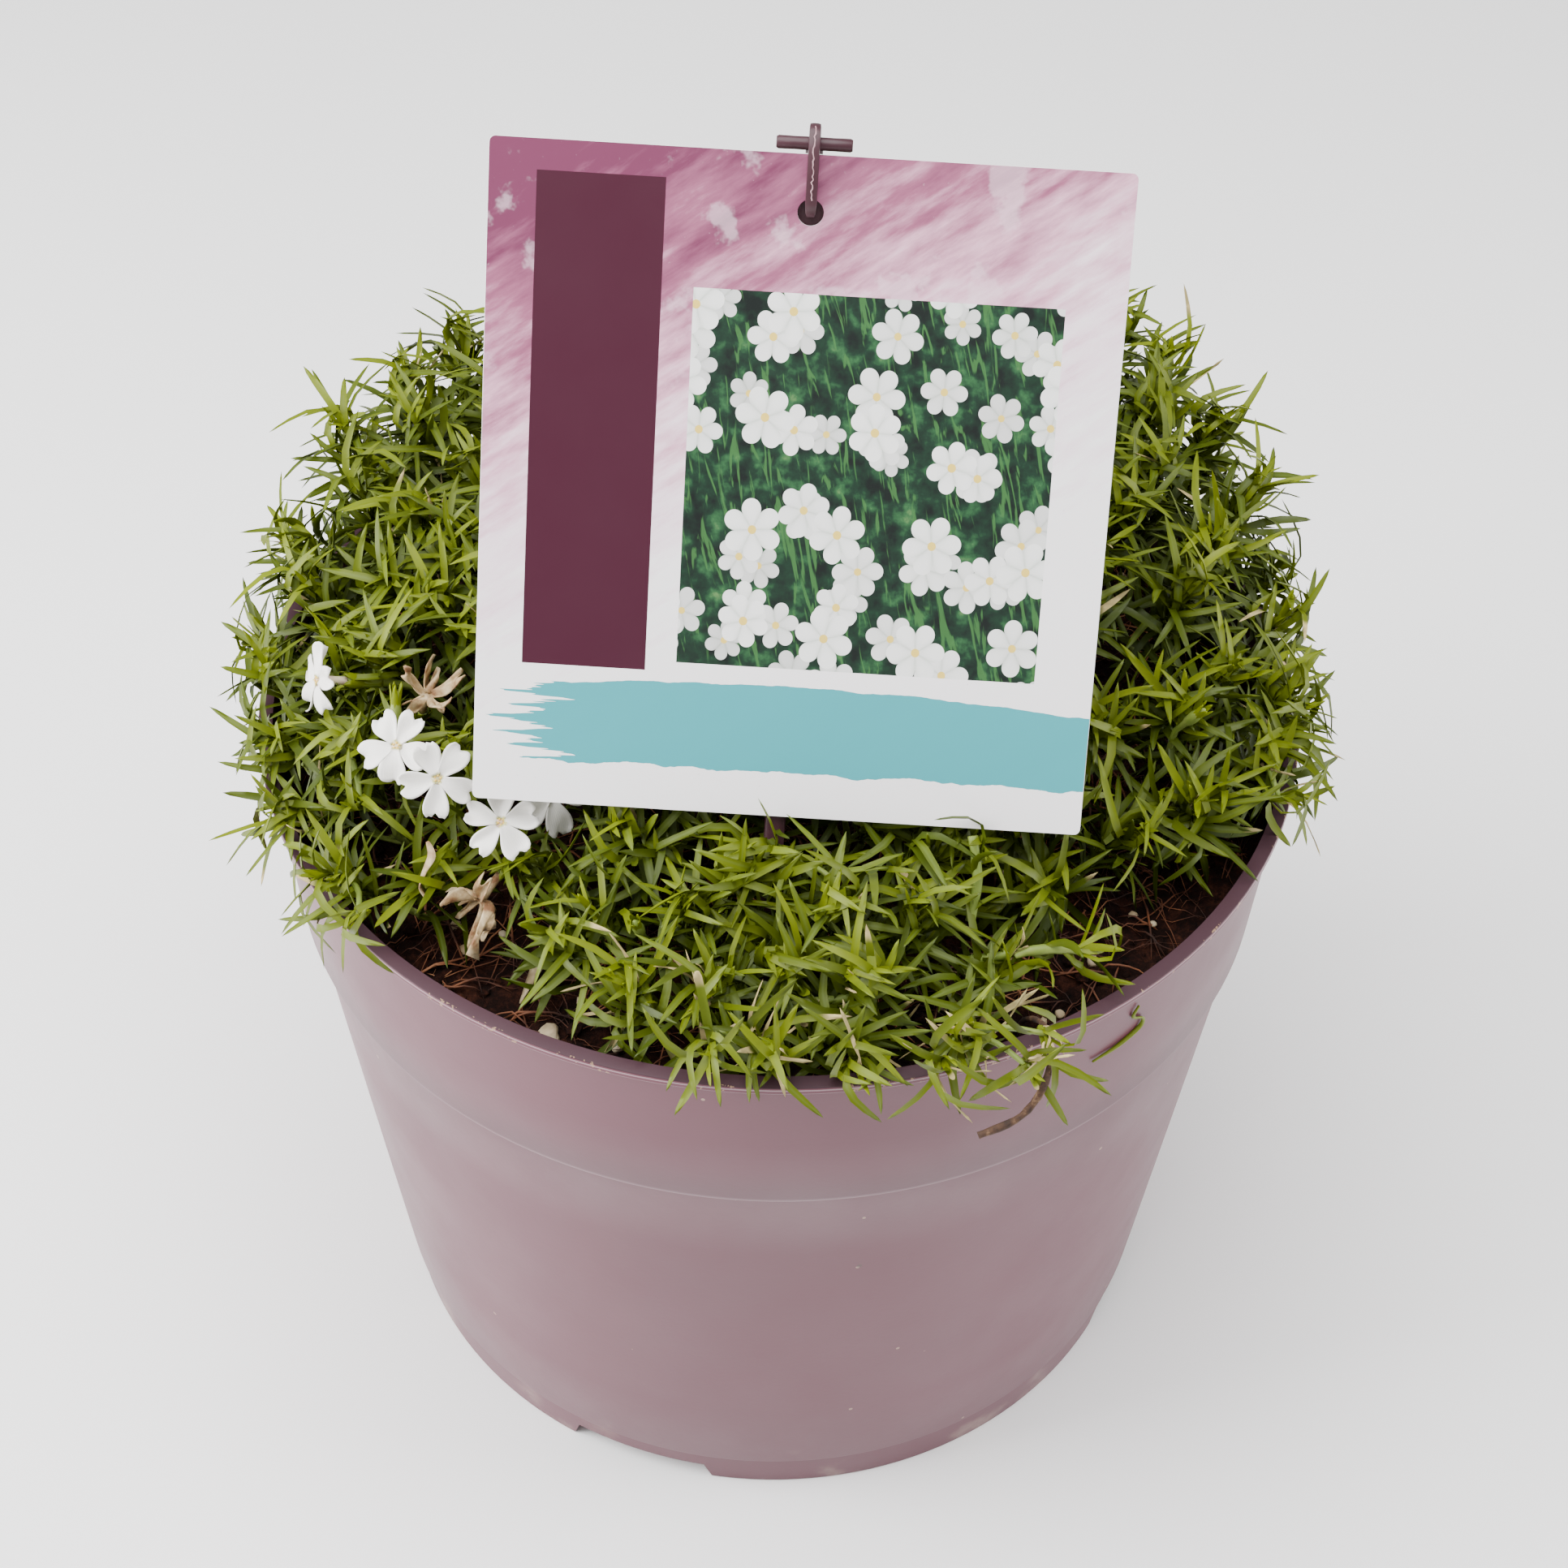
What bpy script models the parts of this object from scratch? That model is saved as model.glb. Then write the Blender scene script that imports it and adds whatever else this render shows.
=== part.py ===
"""Creeping phlox growing in its nursery pot, with a picture label on a hooked stake.

The frame is metres with +Z up. The origin is on the pot's axis, in the plane that the pot's foot stands on.
The front, which the label faces, is towards -Y.
"""
import math
import random

import bmesh
import bpy
import numpy as np
from mathutils import Matrix, Vector

MM = 0.001
TOUCH_GAP = 0.3 * MM

# Pot
RIM_RADIUS = 95.0 * MM
POT_HEIGHT = 144.0 * MM
FOOT_RADIUS = 77.9 * MM
STEP_HEIGHT = 109.4 * MM
STEP_RADIUS = 91.3 * MM
STEP_DEPTH = 1.3 * MM
LIP_WIDTH = 2.7 * MM
LIP_HEIGHT = 1.7 * MM
LIP_OVERHANG = 1.3 * MM
WALL = 1.2 * MM
FOOT_WALL = 2.2 * MM
FOOT_LINE_HEIGHT = 9.0 * MM
FLOOR_BOTTOM = 6.0 * MM
FLOOR_TOP = 7.5 * MM
POT_SIDES = 36
NOTCH_COUNT = 4
NOTCH_FIRST_DEG = -109.0
NOTCH_WIDTH = 31.0 * MM
NOTCH_HEIGHT = 4.6 * MM
DRAIN_COUNT = 4
DRAIN_RADIUS = 5.0 * MM
DRAIN_CIRCLE = 45.0 * MM

# Soil
SOIL_EDGE = 131.0 * MM
SOIL_MOUND = 6.0 * MM
SOIL_LUMP = 0.9 * MM
SOIL_RINGS = 5
SOIL_SIDES = 26
HOLE_DEPTH = 6.0 * MM
HOLE_CLEARANCE = 0.4 * MM

# Label, hung on the stake's hook, facing the front and leaning back
LABEL_WIDTH = 100.0 * MM
LABEL_HEIGHT = 107.0 * MM
LABEL_THICKNESS = 0.6 * MM
LABEL_CORNER = 1.0 * MM
LABEL_CENTRE = Vector((1.8, -32.2, 215.2)) * MM
LABEL_LEAN = math.radians(27.4)
LABEL_SLANT = math.radians(-1.5)
LABEL_TURN = math.radians(-1.6)
LABEL_HOLE_RADIUS = 2.05 * MM
LABEL_HOLE_UP = 44.6 * MM

# Stake, one moulding: a flat shaft, a cross-bar over the label's top edge, and a hook through the hole
SHAFT_BACK = 2.3 * MM
SHAFT_HALF_WIDTH = 1.7 * MM
SHAFT_HALF_DEPTH = 1.0 * MM
BAR_FRONT = 1.75 * MM
BAR_RADIUS = 0.9 * MM
HOOK_TOP = 57.6 * MM
CROSSBAR_UP = 54.9 * MM
CROSSBAR_HALF = 5.9 * MM
CROSSBAR_RADIUS = 1.05 * MM
STAKE_SOIL_POINT = Vector((-2.4, -68.0, 132.0)) * MM
STAKE_DEPTH = 20.0 * MM

# Leafy stems
SEED = 22
STEM_COUNT = 40
STEM_SIDE = Vector((0.6, 0.8, 0.1)).normalized()
SHOOT_COUNT = 136
SHOOT_SPACING = 12.2 * MM
SKIRT_STEP_DEG = 15.0
SKIRT_LEAST_LIFT = 12.0 * MM
SKIRT_SHARE = 0.36
SKIRT_DROP = 4.0 * MM
RIM_TRIES = 40
FILL_TRIES = 6000
GROUPING_ROUNDS = 12
CANOPY_WAVE = 2.2 * MM
HUB_SHARE = 0.3
LOWEST_HUB = 5.0 * MM
FARTHEST_HUB = 85.0 * MM
FARTHEST_FOOT = 82.0 * MM
FORK_PITCH = 2.4 * MM
SHOOT_RADIUS = 0.95 * MM
SHOOT_SIDES = 3
LEAF_HALF_WIDTH = 0.85 * MM
LEAF_LONGEST = 16.0 * MM
LEAF_SHORTEST = 11.0 * MM
TOP_LEAF_SHARE = 0.78
WHORL_PITCH = 2.0 * MM
PITCH_GROWTH = 1.1
WIDEST_PITCH = 3.3 * MM
INNER_WHORLS = 5
OUTER_WHORLS = 7
OUTER_FROM = 66.0 * MM
BARE_RING_GAP = 1.5 * MM
BARE_FOOT = 3.0 * MM
BARE_LEADER = HOLE_DEPTH + 3.0 * MM
COLLAR_RISE = 1.2 * MM
BUD_LENGTH = 2.6 * MM
LEAF_CLEARANCE = 0.15 * MM
ROOT_ROOM = 0.85
ROOT_RUN = 1.5 * MM
LEAF_TIP_RADIUS = 0.1 * MM
LEAF_REACH = 101.5 * MM
CENTRE_LIFT = 41.0 * MM
DOME_POWER = 1.6

# The lean of the leaves from their shoot, for each whorl from the top down; the last holds for all below
WHORL_LEAN = ((16, 32), (34, 52), (50, 68), (62, 82), (70, 98))
WHORL_SPIRAL = 0.5

# How far out and how high above the rim the outermost shoot tips stand: bearing, reach, lift
CANOPY_EDGE = (
    (-90.0, 93.0, 4.0),
    (-68.0, 95.0, 3.0),
    (-57.0, 76.0, 6.0),
    (-43.0, 74.0, 8.0),
    (-24.0, 88.0, 9.0),
    (-12.0, 94.0, 12.0),
    (2.0, 94.0, 14.0),
    (20.0, 94.0, 26.0),
    (40.0, 95.0, 33.0),
    (60.0, 93.0, 34.0),
    (90.0, 91.0, 32.0),
    (120.0, 88.0, 29.0),
    (150.0, 91.0, 28.0),
    (170.0, 93.0, 20.0),
    (190.0, 92.0, 12.0),
    (208.0, 95.0, 5.0),
    (219.0, 94.0, 3.0),
    (231.0, 69.0, 8.0),
    (250.0, 84.0, 4.0),
)

# Flowers: face centre in millimetres, the way the face looks, and a turn of the petals about it
FRESH_FLOWERS = (
    ((-79.6, -25.0, 167.0), (-0.86, -0.38, 0.36), 10.0),
    ((-64.2, -41.5, 167.5), (-0.22, -0.55, 0.80), 30.0),
    ((-56.1, -52.0, 170.4), (0.10, -0.82, 0.56), 5.0),
    ((-45.8, -54.8, 163.2), (0.05, -0.66, 0.75), 50.0),
    ((-38.5, -45.0, 159.5), (0.30, -0.50, 0.81), 20.0),
)
WITHERED_FLOWERS = (
    ((-60.5, -27.5, 166.0), (0.25, -0.35, 0.90), 15.0),
    ((-49.5, -60.0, 150.0), (-0.55, -0.75, -0.35), 40.0),
)
PETAL_LENGTH = 6.7 * MM
# Petal sections from the throat outwards, in petal lengths: distance out, half width and lift; the last is
# the notch
FRESH_PETAL = ((0.70, 0.36, 0.02), (0.98, 0.27, -0.04), (0.86, 0.0, -0.02))
WITHERED_PETAL = ((0.45, 0.16, -0.06), (0.72, 0.09, -0.35), (0.78, 0.0, -0.42))
PETAL_THICKNESS = 0.6 * MM
THROAT_RADIUS = 1.2 * MM
TUBE_RADIUS = 0.8 * MM
TUBE_LENGTH = 9.0 * MM
CALYX_RADIUS = 1.6 * MM
CALYX_TOP = 5.0 * MM
CALYX_BOTTOM = 12.5 * MM
FLOWER_SIDES = 5
STALK_RADIUS = 0.65 * MM
ROOT_SHARE = 0.4

# Dead stem that comes over the rim at the front: its line, from inside the soil to its broken end
TWIG_LINE = ((40.0, -71.0, 126.0), (41.5, -77.0, 141.0), (44.0, -86.0, 149.5), (44.0, -94.5, 148.0),
             (40.0, -99.5, 143.5), (33.0, -102.0, 141.0))
TWIG_RADIUS = 0.7 * MM

random.seed(SEED)


# Scene and materials

def clear_scene():
    for old in list(bpy.data.objects):
        bpy.data.objects.remove(old, do_unlink=True)


def principled(name, colour, roughness):
    material = bpy.data.materials.new(name)
    material.use_nodes = True
    shader = material.node_tree.nodes["Principled BSDF"]
    shader.inputs["Base Color"].default_value = (*colour, 1.0)
    shader.inputs["Roughness"].default_value = roughness
    shader.inputs["Metallic"].default_value = 0.0
    material.diffuse_color = (*colour, 1.0)
    return material


def new_object(name, bm, material=None):
    """Turn a bmesh into a linked object whose faces point outwards."""
    bmesh.ops.recalc_face_normals(bm, faces=bm.faces)
    mesh = bpy.data.meshes.new(name)
    bm.to_mesh(mesh)
    bm.free()
    if material:
        mesh.materials.append(material)
    made = bpy.data.objects.new(name, mesh)
    bpy.context.scene.collection.objects.link(made)
    return made


def smooth_round(made, angle_deg=35.0):
    made.data.shade_smooth()
    made.data.set_sharp_from_angle(angle=math.radians(angle_deg))


def is_closed(mesh):
    """Whether every edge of a mesh lies between two faces."""
    counts = {}
    for polygon in mesh.polygons:
        for key in polygon.edge_keys:
            counts[key] = counts.get(key, 0) + 1
    return all(count == 2 for count in counts.values())


def apply_boolean(target, others, operation, solvers=("EXACT",)):
    """Join or cut target with a collection of other objects, apply it, and remove them.

    The first of the solvers that gives a closed mesh is the one whose result is kept.
    """
    group = bpy.data.collections.new(target.name + "_tools")
    for other in others:
        group.objects.link(other)
    step = target.modifiers.new("join", "BOOLEAN")
    step.operand_type = "COLLECTION"
    step.collection = group
    step.operation = operation
    for solver in solvers:
        step.solver = solver
        depsgraph = bpy.context.evaluated_depsgraph_get()
        result = bpy.data.meshes.new_from_object(target.evaluated_get(depsgraph))
        if is_closed(result):
            break
    target.modifiers.clear()
    old = target.data
    target.data = result
    bpy.data.meshes.remove(old)
    for other in others:
        bpy.data.objects.remove(other, do_unlink=True)
    bpy.data.collections.remove(group)
    tidy = bmesh.new()
    tidy.from_mesh(result)
    bmesh.ops.triangulate(tidy, faces=tidy.faces)
    tidy.to_mesh(result)
    tidy.free()


# Turned and swept shapes

def turned(name, outline, sides, material):
    """Spin a closed (radius, height) outline, which starts and ends on the axis, about Z."""
    bm = bmesh.new()
    verts = [bm.verts.new((radius, 0.0, height)) for radius, height in outline]
    edges = [bm.edges.new(pair) for pair in zip(verts, verts[1:])]
    bmesh.ops.spin(bm, geom=verts + edges, cent=(0, 0, 0), axis=(0, 0, 1), dvec=(0, 0, 0),
                   angle=math.tau, steps=sides, use_merge=True)
    bmesh.ops.remove_doubles(bm, verts=bm.verts, dist=0.00001)
    return new_object(name, bm, material)


def frames_along(line, side_hint):
    """A tangent, a side and a normal at every point of a line."""
    points = [Vector(p) for p in line]
    frames = []
    for index, point in enumerate(points):
        before = points[max(index - 1, 0)]
        after = points[min(index + 1, len(points) - 1)]
        tangent = (after - before).normalized()
        side = (side_hint - tangent * side_hint.dot(tangent)).normalized()
        frames.append((point, tangent, side, tangent.cross(side)))
    return frames


def ring_at(bm, frame, half_side, half_normal, sides, turn=0.0):
    point, _, side, normal = frame
    ring = []
    for index in range(sides):
        angle = math.tau * index / sides + turn
        offset = side * (half_side * math.cos(angle)) + normal * (half_normal * math.sin(angle))
        ring.append(bm.verts.new(point + offset))
    return ring


def join_rings(bm, lower, upper):
    count = len(lower)
    return [bm.faces.new((lower[i], lower[(i + 1) % count], upper[(i + 1) % count], upper[i])) for i in range(count)]


def rod(name, line, half_sides, half_normals, sides, side_hint, material=None):
    """A closed rod of an oval section along a line."""
    bm = bmesh.new()
    frames = frames_along(line, side_hint)
    rings = [ring_at(bm, frame, a, b, sides) for frame, a, b in zip(frames, half_sides, half_normals)]
    for lower, upper in zip(rings, rings[1:]):
        join_rings(bm, lower, upper)
    bm.faces.new(rings[0])
    bm.faces.new(rings[-1])
    return new_object(name, bm, material)


def curve_points(controls, count):
    """Points along a Bezier curve of four controls."""
    start, first, second, end = (Vector(c) for c in controls)
    points = []
    for index in range(count):
        t = index / (count - 1)
        s = 1.0 - t
        points.append(start * s ** 3 + first * (3 * s * s * t) + second * (3 * s * t * t) + end * t ** 3)
    return points


# Pot

def outer_radius(height):
    """Radius of the pot's outside at a height below the lip."""
    if height >= STEP_HEIGHT:
        share = (height - STEP_HEIGHT) / (POT_HEIGHT - STEP_HEIGHT)
        return STEP_RADIUS + (RIM_RADIUS - LIP_OVERHANG - STEP_RADIUS) * share
    share = height / STEP_HEIGHT
    return FOOT_RADIUS + (STEP_RADIUS - STEP_DEPTH - FOOT_RADIUS) * share


def pot_outline():
    lip_bottom = POT_HEIGHT - LIP_HEIGHT
    ease = 0.4 * MM
    inner_step = STEP_HEIGHT - WALL
    foot_inset = 0.5 * MM
    return (
        (0.0, FLOOR_BOTTOM),
        (FOOT_RADIUS - foot_inset - FOOT_WALL + 0.6 * MM, FLOOR_BOTTOM),
        (FOOT_RADIUS - foot_inset - FOOT_WALL, 0.0),
        (FOOT_RADIUS - foot_inset, 0.0),
        (outer_radius(FOOT_LINE_HEIGHT) - foot_inset, FOOT_LINE_HEIGHT),
        (outer_radius(FOOT_LINE_HEIGHT), FOOT_LINE_HEIGHT + ease),
        (outer_radius(STEP_HEIGHT - ease * 2), STEP_HEIGHT - ease * 2),
        (STEP_RADIUS, STEP_HEIGHT),
        (outer_radius(lip_bottom), lip_bottom),
        (RIM_RADIUS, lip_bottom + ease * 0.5),
        (RIM_RADIUS, POT_HEIGHT - ease),
        (RIM_RADIUS - ease, POT_HEIGHT),
        (RIM_RADIUS - LIP_WIDTH, POT_HEIGHT),
        (STEP_RADIUS - WALL, STEP_HEIGHT + WALL),
        (outer_radius(inner_step) - WALL, inner_step),
        (outer_radius(FLOOR_TOP) - WALL, FLOOR_TOP),
        (0.0, FLOOR_TOP),
    )


def foot_notch_cutter(index):
    bm = bmesh.new()
    bmesh.ops.create_cube(bm, size=1.0)
    depth = 12.0 * MM
    below = 2.0 * MM
    bmesh.ops.scale(bm, vec=(depth, NOTCH_WIDTH, NOTCH_HEIGHT + below), verts=bm.verts)
    top = [v for v in bm.verts if v.co.z > 0.0]
    bmesh.ops.scale(bm, vec=(1.0, 0.86, 1.0), verts=top)
    place = Matrix.Rotation(math.radians(NOTCH_FIRST_DEG + index * 360.0 / NOTCH_COUNT), 4, "Z")
    place = place @ Matrix.Translation((FOOT_RADIUS - 1.0 * MM, 0.0, (NOTCH_HEIGHT - below) / 2))
    bmesh.ops.transform(bm, matrix=place, verts=bm.verts)
    return new_object(f"notch_cutter_{index}", bm)


def drain_cutter(index):
    bm = bmesh.new()
    bmesh.ops.create_cone(bm, cap_ends=True, segments=8, radius1=DRAIN_RADIUS, radius2=DRAIN_RADIUS,
                          depth=6.0 * MM)
    angle = math.radians(NOTCH_FIRST_DEG + 45.0) + math.tau * index / DRAIN_COUNT
    middle = (FLOOR_BOTTOM + FLOOR_TOP) / 2
    bmesh.ops.translate(bm, vec=(DRAIN_CIRCLE * math.cos(angle), DRAIN_CIRCLE * math.sin(angle), middle),
                        verts=bm.verts)
    return new_object(f"drain_cutter_{index}", bm)


def build_pot():
    material = principled("mauve_plastic", (0.33, 0.20, 0.24), 0.42)
    pot = turned("pot", pot_outline(), POT_SIDES, material)
    cutters = [foot_notch_cutter(i) for i in range(NOTCH_COUNT)]
    cutters += [drain_cutter(i) for i in range(DRAIN_COUNT)]
    apply_boolean(pot, cutters, "DIFFERENCE")
    smooth_round(pot)
    return pot


# Soil

def soil_height(x, y):
    """Height of the soil's uneven top, which mounds towards the middle."""
    share = min(math.hypot(x, y) / RIM_RADIUS, 1.0)
    lump = math.sin(x * 150.0 + 1.3) * math.sin(y * 130.0 + 0.4)
    return SOIL_EDGE + SOIL_MOUND * (1.0 - share * share) + SOIL_LUMP * lump * (1.0 - share ** 6)


def inner_radius(height):
    return outer_radius(height) - WALL


def build_soil():
    """The filling of the pot: walls that follow the pot's inside, and an uneven top."""
    bm = bmesh.new()
    below_step = STEP_HEIGHT - WALL
    above_step = STEP_HEIGHT + WALL
    walls = (
        (inner_radius(FLOOR_TOP) - 2 * TOUCH_GAP, FLOOR_TOP + TOUCH_GAP),
        (inner_radius(below_step) - 2 * TOUCH_GAP, below_step),
        (STEP_RADIUS - WALL - 2 * TOUCH_GAP, above_step + TOUCH_GAP),
    )
    top_edge = inner_radius(SOIL_EDGE) - 2 * TOUCH_GAP
    rings = []
    for radius, height in walls:
        rings.append([bm.verts.new((radius * math.cos(a), radius * math.sin(a), height)) for a in soil_angles(0)])
    for step in range(SOIL_RINGS):
        radius = top_edge * (1.0 - step / SOIL_RINGS)
        ring = []
        for angle in soil_angles(step):
            x, y = radius * math.cos(angle), radius * math.sin(angle)
            ring.append(bm.verts.new((x, y, soil_height(x, y))))
        rings.append(ring)
    for lower, upper in zip(rings, rings[1:]):
        join_rings(bm, lower, upper)
    bm.faces.new(rings[0])
    middle = bm.verts.new((0.0, 0.0, soil_height(0.0, 0.0)))
    last = rings[-1]
    for index, vert in enumerate(last):
        bm.faces.new((vert, last[(index + 1) % len(last)], middle))
    bmesh.ops.triangulate(bm, faces=bm.faces)
    return new_object("soil", bm, principled("peat_soil", (0.045, 0.02, 0.014), 0.95))


def soil_angles(step):
    return [math.tau * (i + 0.5 * (step % 2)) / SOIL_SIDES for i in range(SOIL_SIDES)]


# Label and stake

def label_place():
    place = Matrix.Translation(LABEL_CENTRE)
    place = place @ Matrix.Rotation(LABEL_TURN, 4, "Z")
    place = place @ Matrix.Rotation(math.pi / 2 - LABEL_LEAN, 4, "X")
    return place @ Matrix.Rotation(LABEL_SLANT, 4, "Z")


def build_label():
    """A card with rounded corners and a round hole near its top edge, built flat and then placed."""
    half_width = LABEL_WIDTH / 2
    half_height = LABEL_HEIGHT / 2
    bm = bmesh.new()
    outline = []
    corners = ((1, 1, 0), (-1, 1, 90), (-1, -1, 180), (1, -1, 270))
    for across, up, start in corners:
        for turn in (0.0, 45.0, 90.0):
            angle = math.radians(start + turn)
            outline.append(bm.verts.new((across * (half_width - LABEL_CORNER) + LABEL_CORNER * math.cos(angle),
                                         up * (half_height - LABEL_CORNER) + LABEL_CORNER * math.sin(angle),
                                         -LABEL_THICKNESS / 2)))
    face = bm.faces.new(outline)
    grown = bmesh.ops.extrude_face_region(bm, geom=[face])
    raised = [g for g in grown["geom"] if isinstance(g, bmesh.types.BMVert)]
    bmesh.ops.translate(bm, vec=(0, 0, LABEL_THICKNESS), verts=raised)
    label = new_object("label", bm, principled("printed_card", (0.72, 0.45, 0.58), 0.35))
    punch = bmesh.new()
    bmesh.ops.create_cone(punch, cap_ends=True, segments=16, radius1=LABEL_HOLE_RADIUS, radius2=LABEL_HOLE_RADIUS,
                          depth=4 * MM)
    bmesh.ops.translate(punch, vec=(0.0, LABEL_HOLE_UP, 0.0), verts=punch.verts)
    apply_boolean(label, [new_object("label_punch", punch)], "DIFFERENCE")
    label.data.transform(label_place())
    return label


def stake_shaft_line():
    """The shaft's line: up out of the soil, then straight up behind the label."""
    place = label_place()
    behind = -SHAFT_BACK
    label_foot = place @ Vector((0.0, -LABEL_HEIGHT / 2, behind))
    lower = place @ Vector((0.0, -LABEL_HEIGHT / 2 + 14 * MM, behind))
    top = place @ Vector((0.0, CROSSBAR_UP, behind))
    down = (STAKE_SOIL_POINT - label_foot).normalized()
    tip = STAKE_SOIL_POINT + down * STAKE_DEPTH
    return [tip, tip - down * 4 * MM, STAKE_SOIL_POINT, label_foot, lower, top]


def stake_hook_line():
    """The hook: forward over the label's top edge, down its front and into the hole."""
    back, front = -SHAFT_BACK, BAR_FRONT
    rise = HOOK_TOP - CROSSBAR_UP
    local = [(CROSSBAR_UP - 2 * MM, back), (CROSSBAR_UP + 0.45 * rise, back)]
    middle, reach = (back + front) / 2, (front - back) / 2
    for angle in (140.0, 105.0, 75.0, 40.0):
        turn = math.radians(angle)
        local.append((HOOK_TOP - reach + reach * math.sin(turn), middle + reach * math.cos(turn)))
    local += [(CROSSBAR_UP - 1 * MM, front), (LABEL_HOLE_UP + 1.6 * MM, front),
              (LABEL_HOLE_UP + 0.2 * MM, front - 0.5 * MM), (LABEL_HOLE_UP - 0.3 * MM, -0.2 * MM)]
    place = label_place()
    return [place @ Vector((0.0, up, out)) for up, out in local]


def build_stake():
    material = principled("stake_plastic", (0.16, 0.07, 0.09), 0.3)
    place = label_place()
    across = (place.to_3x3() @ Vector((1, 0, 0))).normalized()
    shaft_line = stake_shaft_line()
    widths = [SHAFT_HALF_WIDTH * share for share in (0.3, 1.0, 1.0, 1.0, 1.0, 0.8)]
    depths = [SHAFT_HALF_DEPTH * share for share in (0.5, 1.0, 1.0, 1.0, 1.0, 1.0)]
    shaft = rod("stake", shaft_line, widths, depths, 6, across, material)
    hook_line = stake_hook_line()
    hook_sizes = [BAR_RADIUS] * (len(hook_line) - 2) + [0.8 * BAR_RADIUS, 0.55 * BAR_RADIUS]
    hook = rod("stake_hook", hook_line, hook_sizes, hook_sizes, 6, across)
    ends = [place @ Vector((side * CROSSBAR_HALF, CROSSBAR_UP, -SHAFT_BACK + 0.7 * MM)) for side in (-1, 1)]
    up = (place.to_3x3() @ Vector((0, 1, 0))).normalized()
    bar_sizes = [CROSSBAR_RADIUS] * 2
    crossbar = rod("stake_crossbar", ends, bar_sizes, bar_sizes, 8, up)
    apply_boolean(shaft, [hook, crossbar], "UNION")
    return shaft


# Where the shoots stand

def edge_at(bearing_deg):
    """Reach and lift of the canopy's edge at a bearing, run smoothly between the stated bearings."""
    first = CANOPY_EDGE[0][0]
    bearing = first + (bearing_deg - first) % 360.0
    table = CANOPY_EDGE + ((first + 360.0, CANOPY_EDGE[0][1], CANOPY_EDGE[0][2]),)
    for low, high in zip(table, table[1:]):
        if low[0] <= bearing <= high[0]:
            share = (bearing - low[0]) / (high[0] - low[0])
            share = share * share * (3.0 - 2.0 * share)
            return ((low[1] + (high[1] - low[1]) * share) * MM, (low[2] + (high[2] - low[2]) * share) * MM)
    return table[-1][1] * MM, table[-1][2] * MM


def canopy_height(x, y):
    """Height of the shoot tips over a point of the plan."""
    reach, lift = edge_at(math.degrees(math.atan2(y, x)))
    share = min(math.hypot(x, y) / reach, 1.15)
    wave = CANOPY_WAVE * math.sin(x * 115.0 + 0.7) * math.sin(y * 105.0 + 2.1)
    return POT_HEIGHT + lift + (CENTRE_LIFT - lift) * (1.0 - share ** DOME_POWER) + wave * (1.0 - share * 0.6)


def canopy_normal(x, y):
    step = 2.0 * MM
    slope_x = (canopy_height(x + step, y) - canopy_height(x - step, y)) / (2 * step)
    slope_y = (canopy_height(x, y + step) - canopy_height(x, y - step)) / (2 * step)
    return Vector((-slope_x, -slope_y, 1.0)).normalized()


def scatter_tips(draw):
    """Shoot tips spread evenly over the canopy, the outermost first, none closer than the spacing."""
    tips = []
    for index in range(RIM_TRIES):
        bearing = index * 360.0 / RIM_TRIES + draw.uniform(-2.0, 2.0)
        reach, _ = edge_at(bearing)
        try_tip(tips, reach * draw.uniform(0.95, 1.0), bearing)
    for index in range(int(360.0 / SKIRT_STEP_DEG)):
        bearing = (index + draw.uniform(-0.2, 0.2)) * SKIRT_STEP_DEG
        reach, lift = edge_at(bearing)
        if lift > SKIRT_LEAST_LIFT:
            try_tip(tips, reach * draw.uniform(0.99, 1.03), bearing, POT_HEIGHT + lift * SKIRT_SHARE)
    for _ in range(FILL_TRIES):
        bearing = draw.uniform(0.0, 360.0)
        reach, _ = edge_at(bearing)
        try_tip(tips, reach * math.sqrt(draw.random()) * 0.97, bearing)
        if len(tips) >= SHOOT_COUNT:
            break
    return tips


def try_tip(tips, radius, bearing_deg, height=None):
    angle = math.radians(bearing_deg)
    x, y = radius * math.cos(angle), radius * math.sin(angle)
    tip = Vector((x, y, canopy_height(x, y) if height is None else height))
    if all((tip - other).length > SHOOT_SPACING for other in tips):
        tips.append(tip)


def tip_way(tip):
    """The way a shoot's tip looks: off the canopy, or outwards where it hangs below the canopy's edge."""
    if tip.z > canopy_height(tip.x, tip.y) - SKIRT_DROP:
        return canopy_normal(tip.x, tip.y)
    return (Vector((tip.x, tip.y, 0.0)).normalized() + Vector((0.0, 0.0, 0.5))).normalized()


def group_tips(tips):
    """Share the tips out among the stems, by a few rounds of moving each centre to its own tips' mean."""
    order = sorted(range(len(tips)), key=lambda i: (round(math.atan2(tips[i].y, tips[i].x), 4), i))
    picks = [order[int(k * len(order) / STEM_COUNT)] for k in range(STEM_COUNT)]
    centres = [Vector((tips[i].x, tips[i].y)) for i in picks]
    groups = []
    for _ in range(GROUPING_ROUNDS):
        groups = [[] for _ in centres]
        for tip in tips:
            flat = Vector((tip.x, tip.y))
            nearest = min(range(len(centres)), key=lambda k: (flat - centres[k]).length)
            groups[nearest].append(tip)
        for k, group in enumerate(groups):
            if group:
                centres[k] = sum((Vector((t.x, t.y)) for t in group), Vector((0.0, 0.0))) / len(group)
    return [group for group in groups if group]


# Room between the rods

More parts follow.
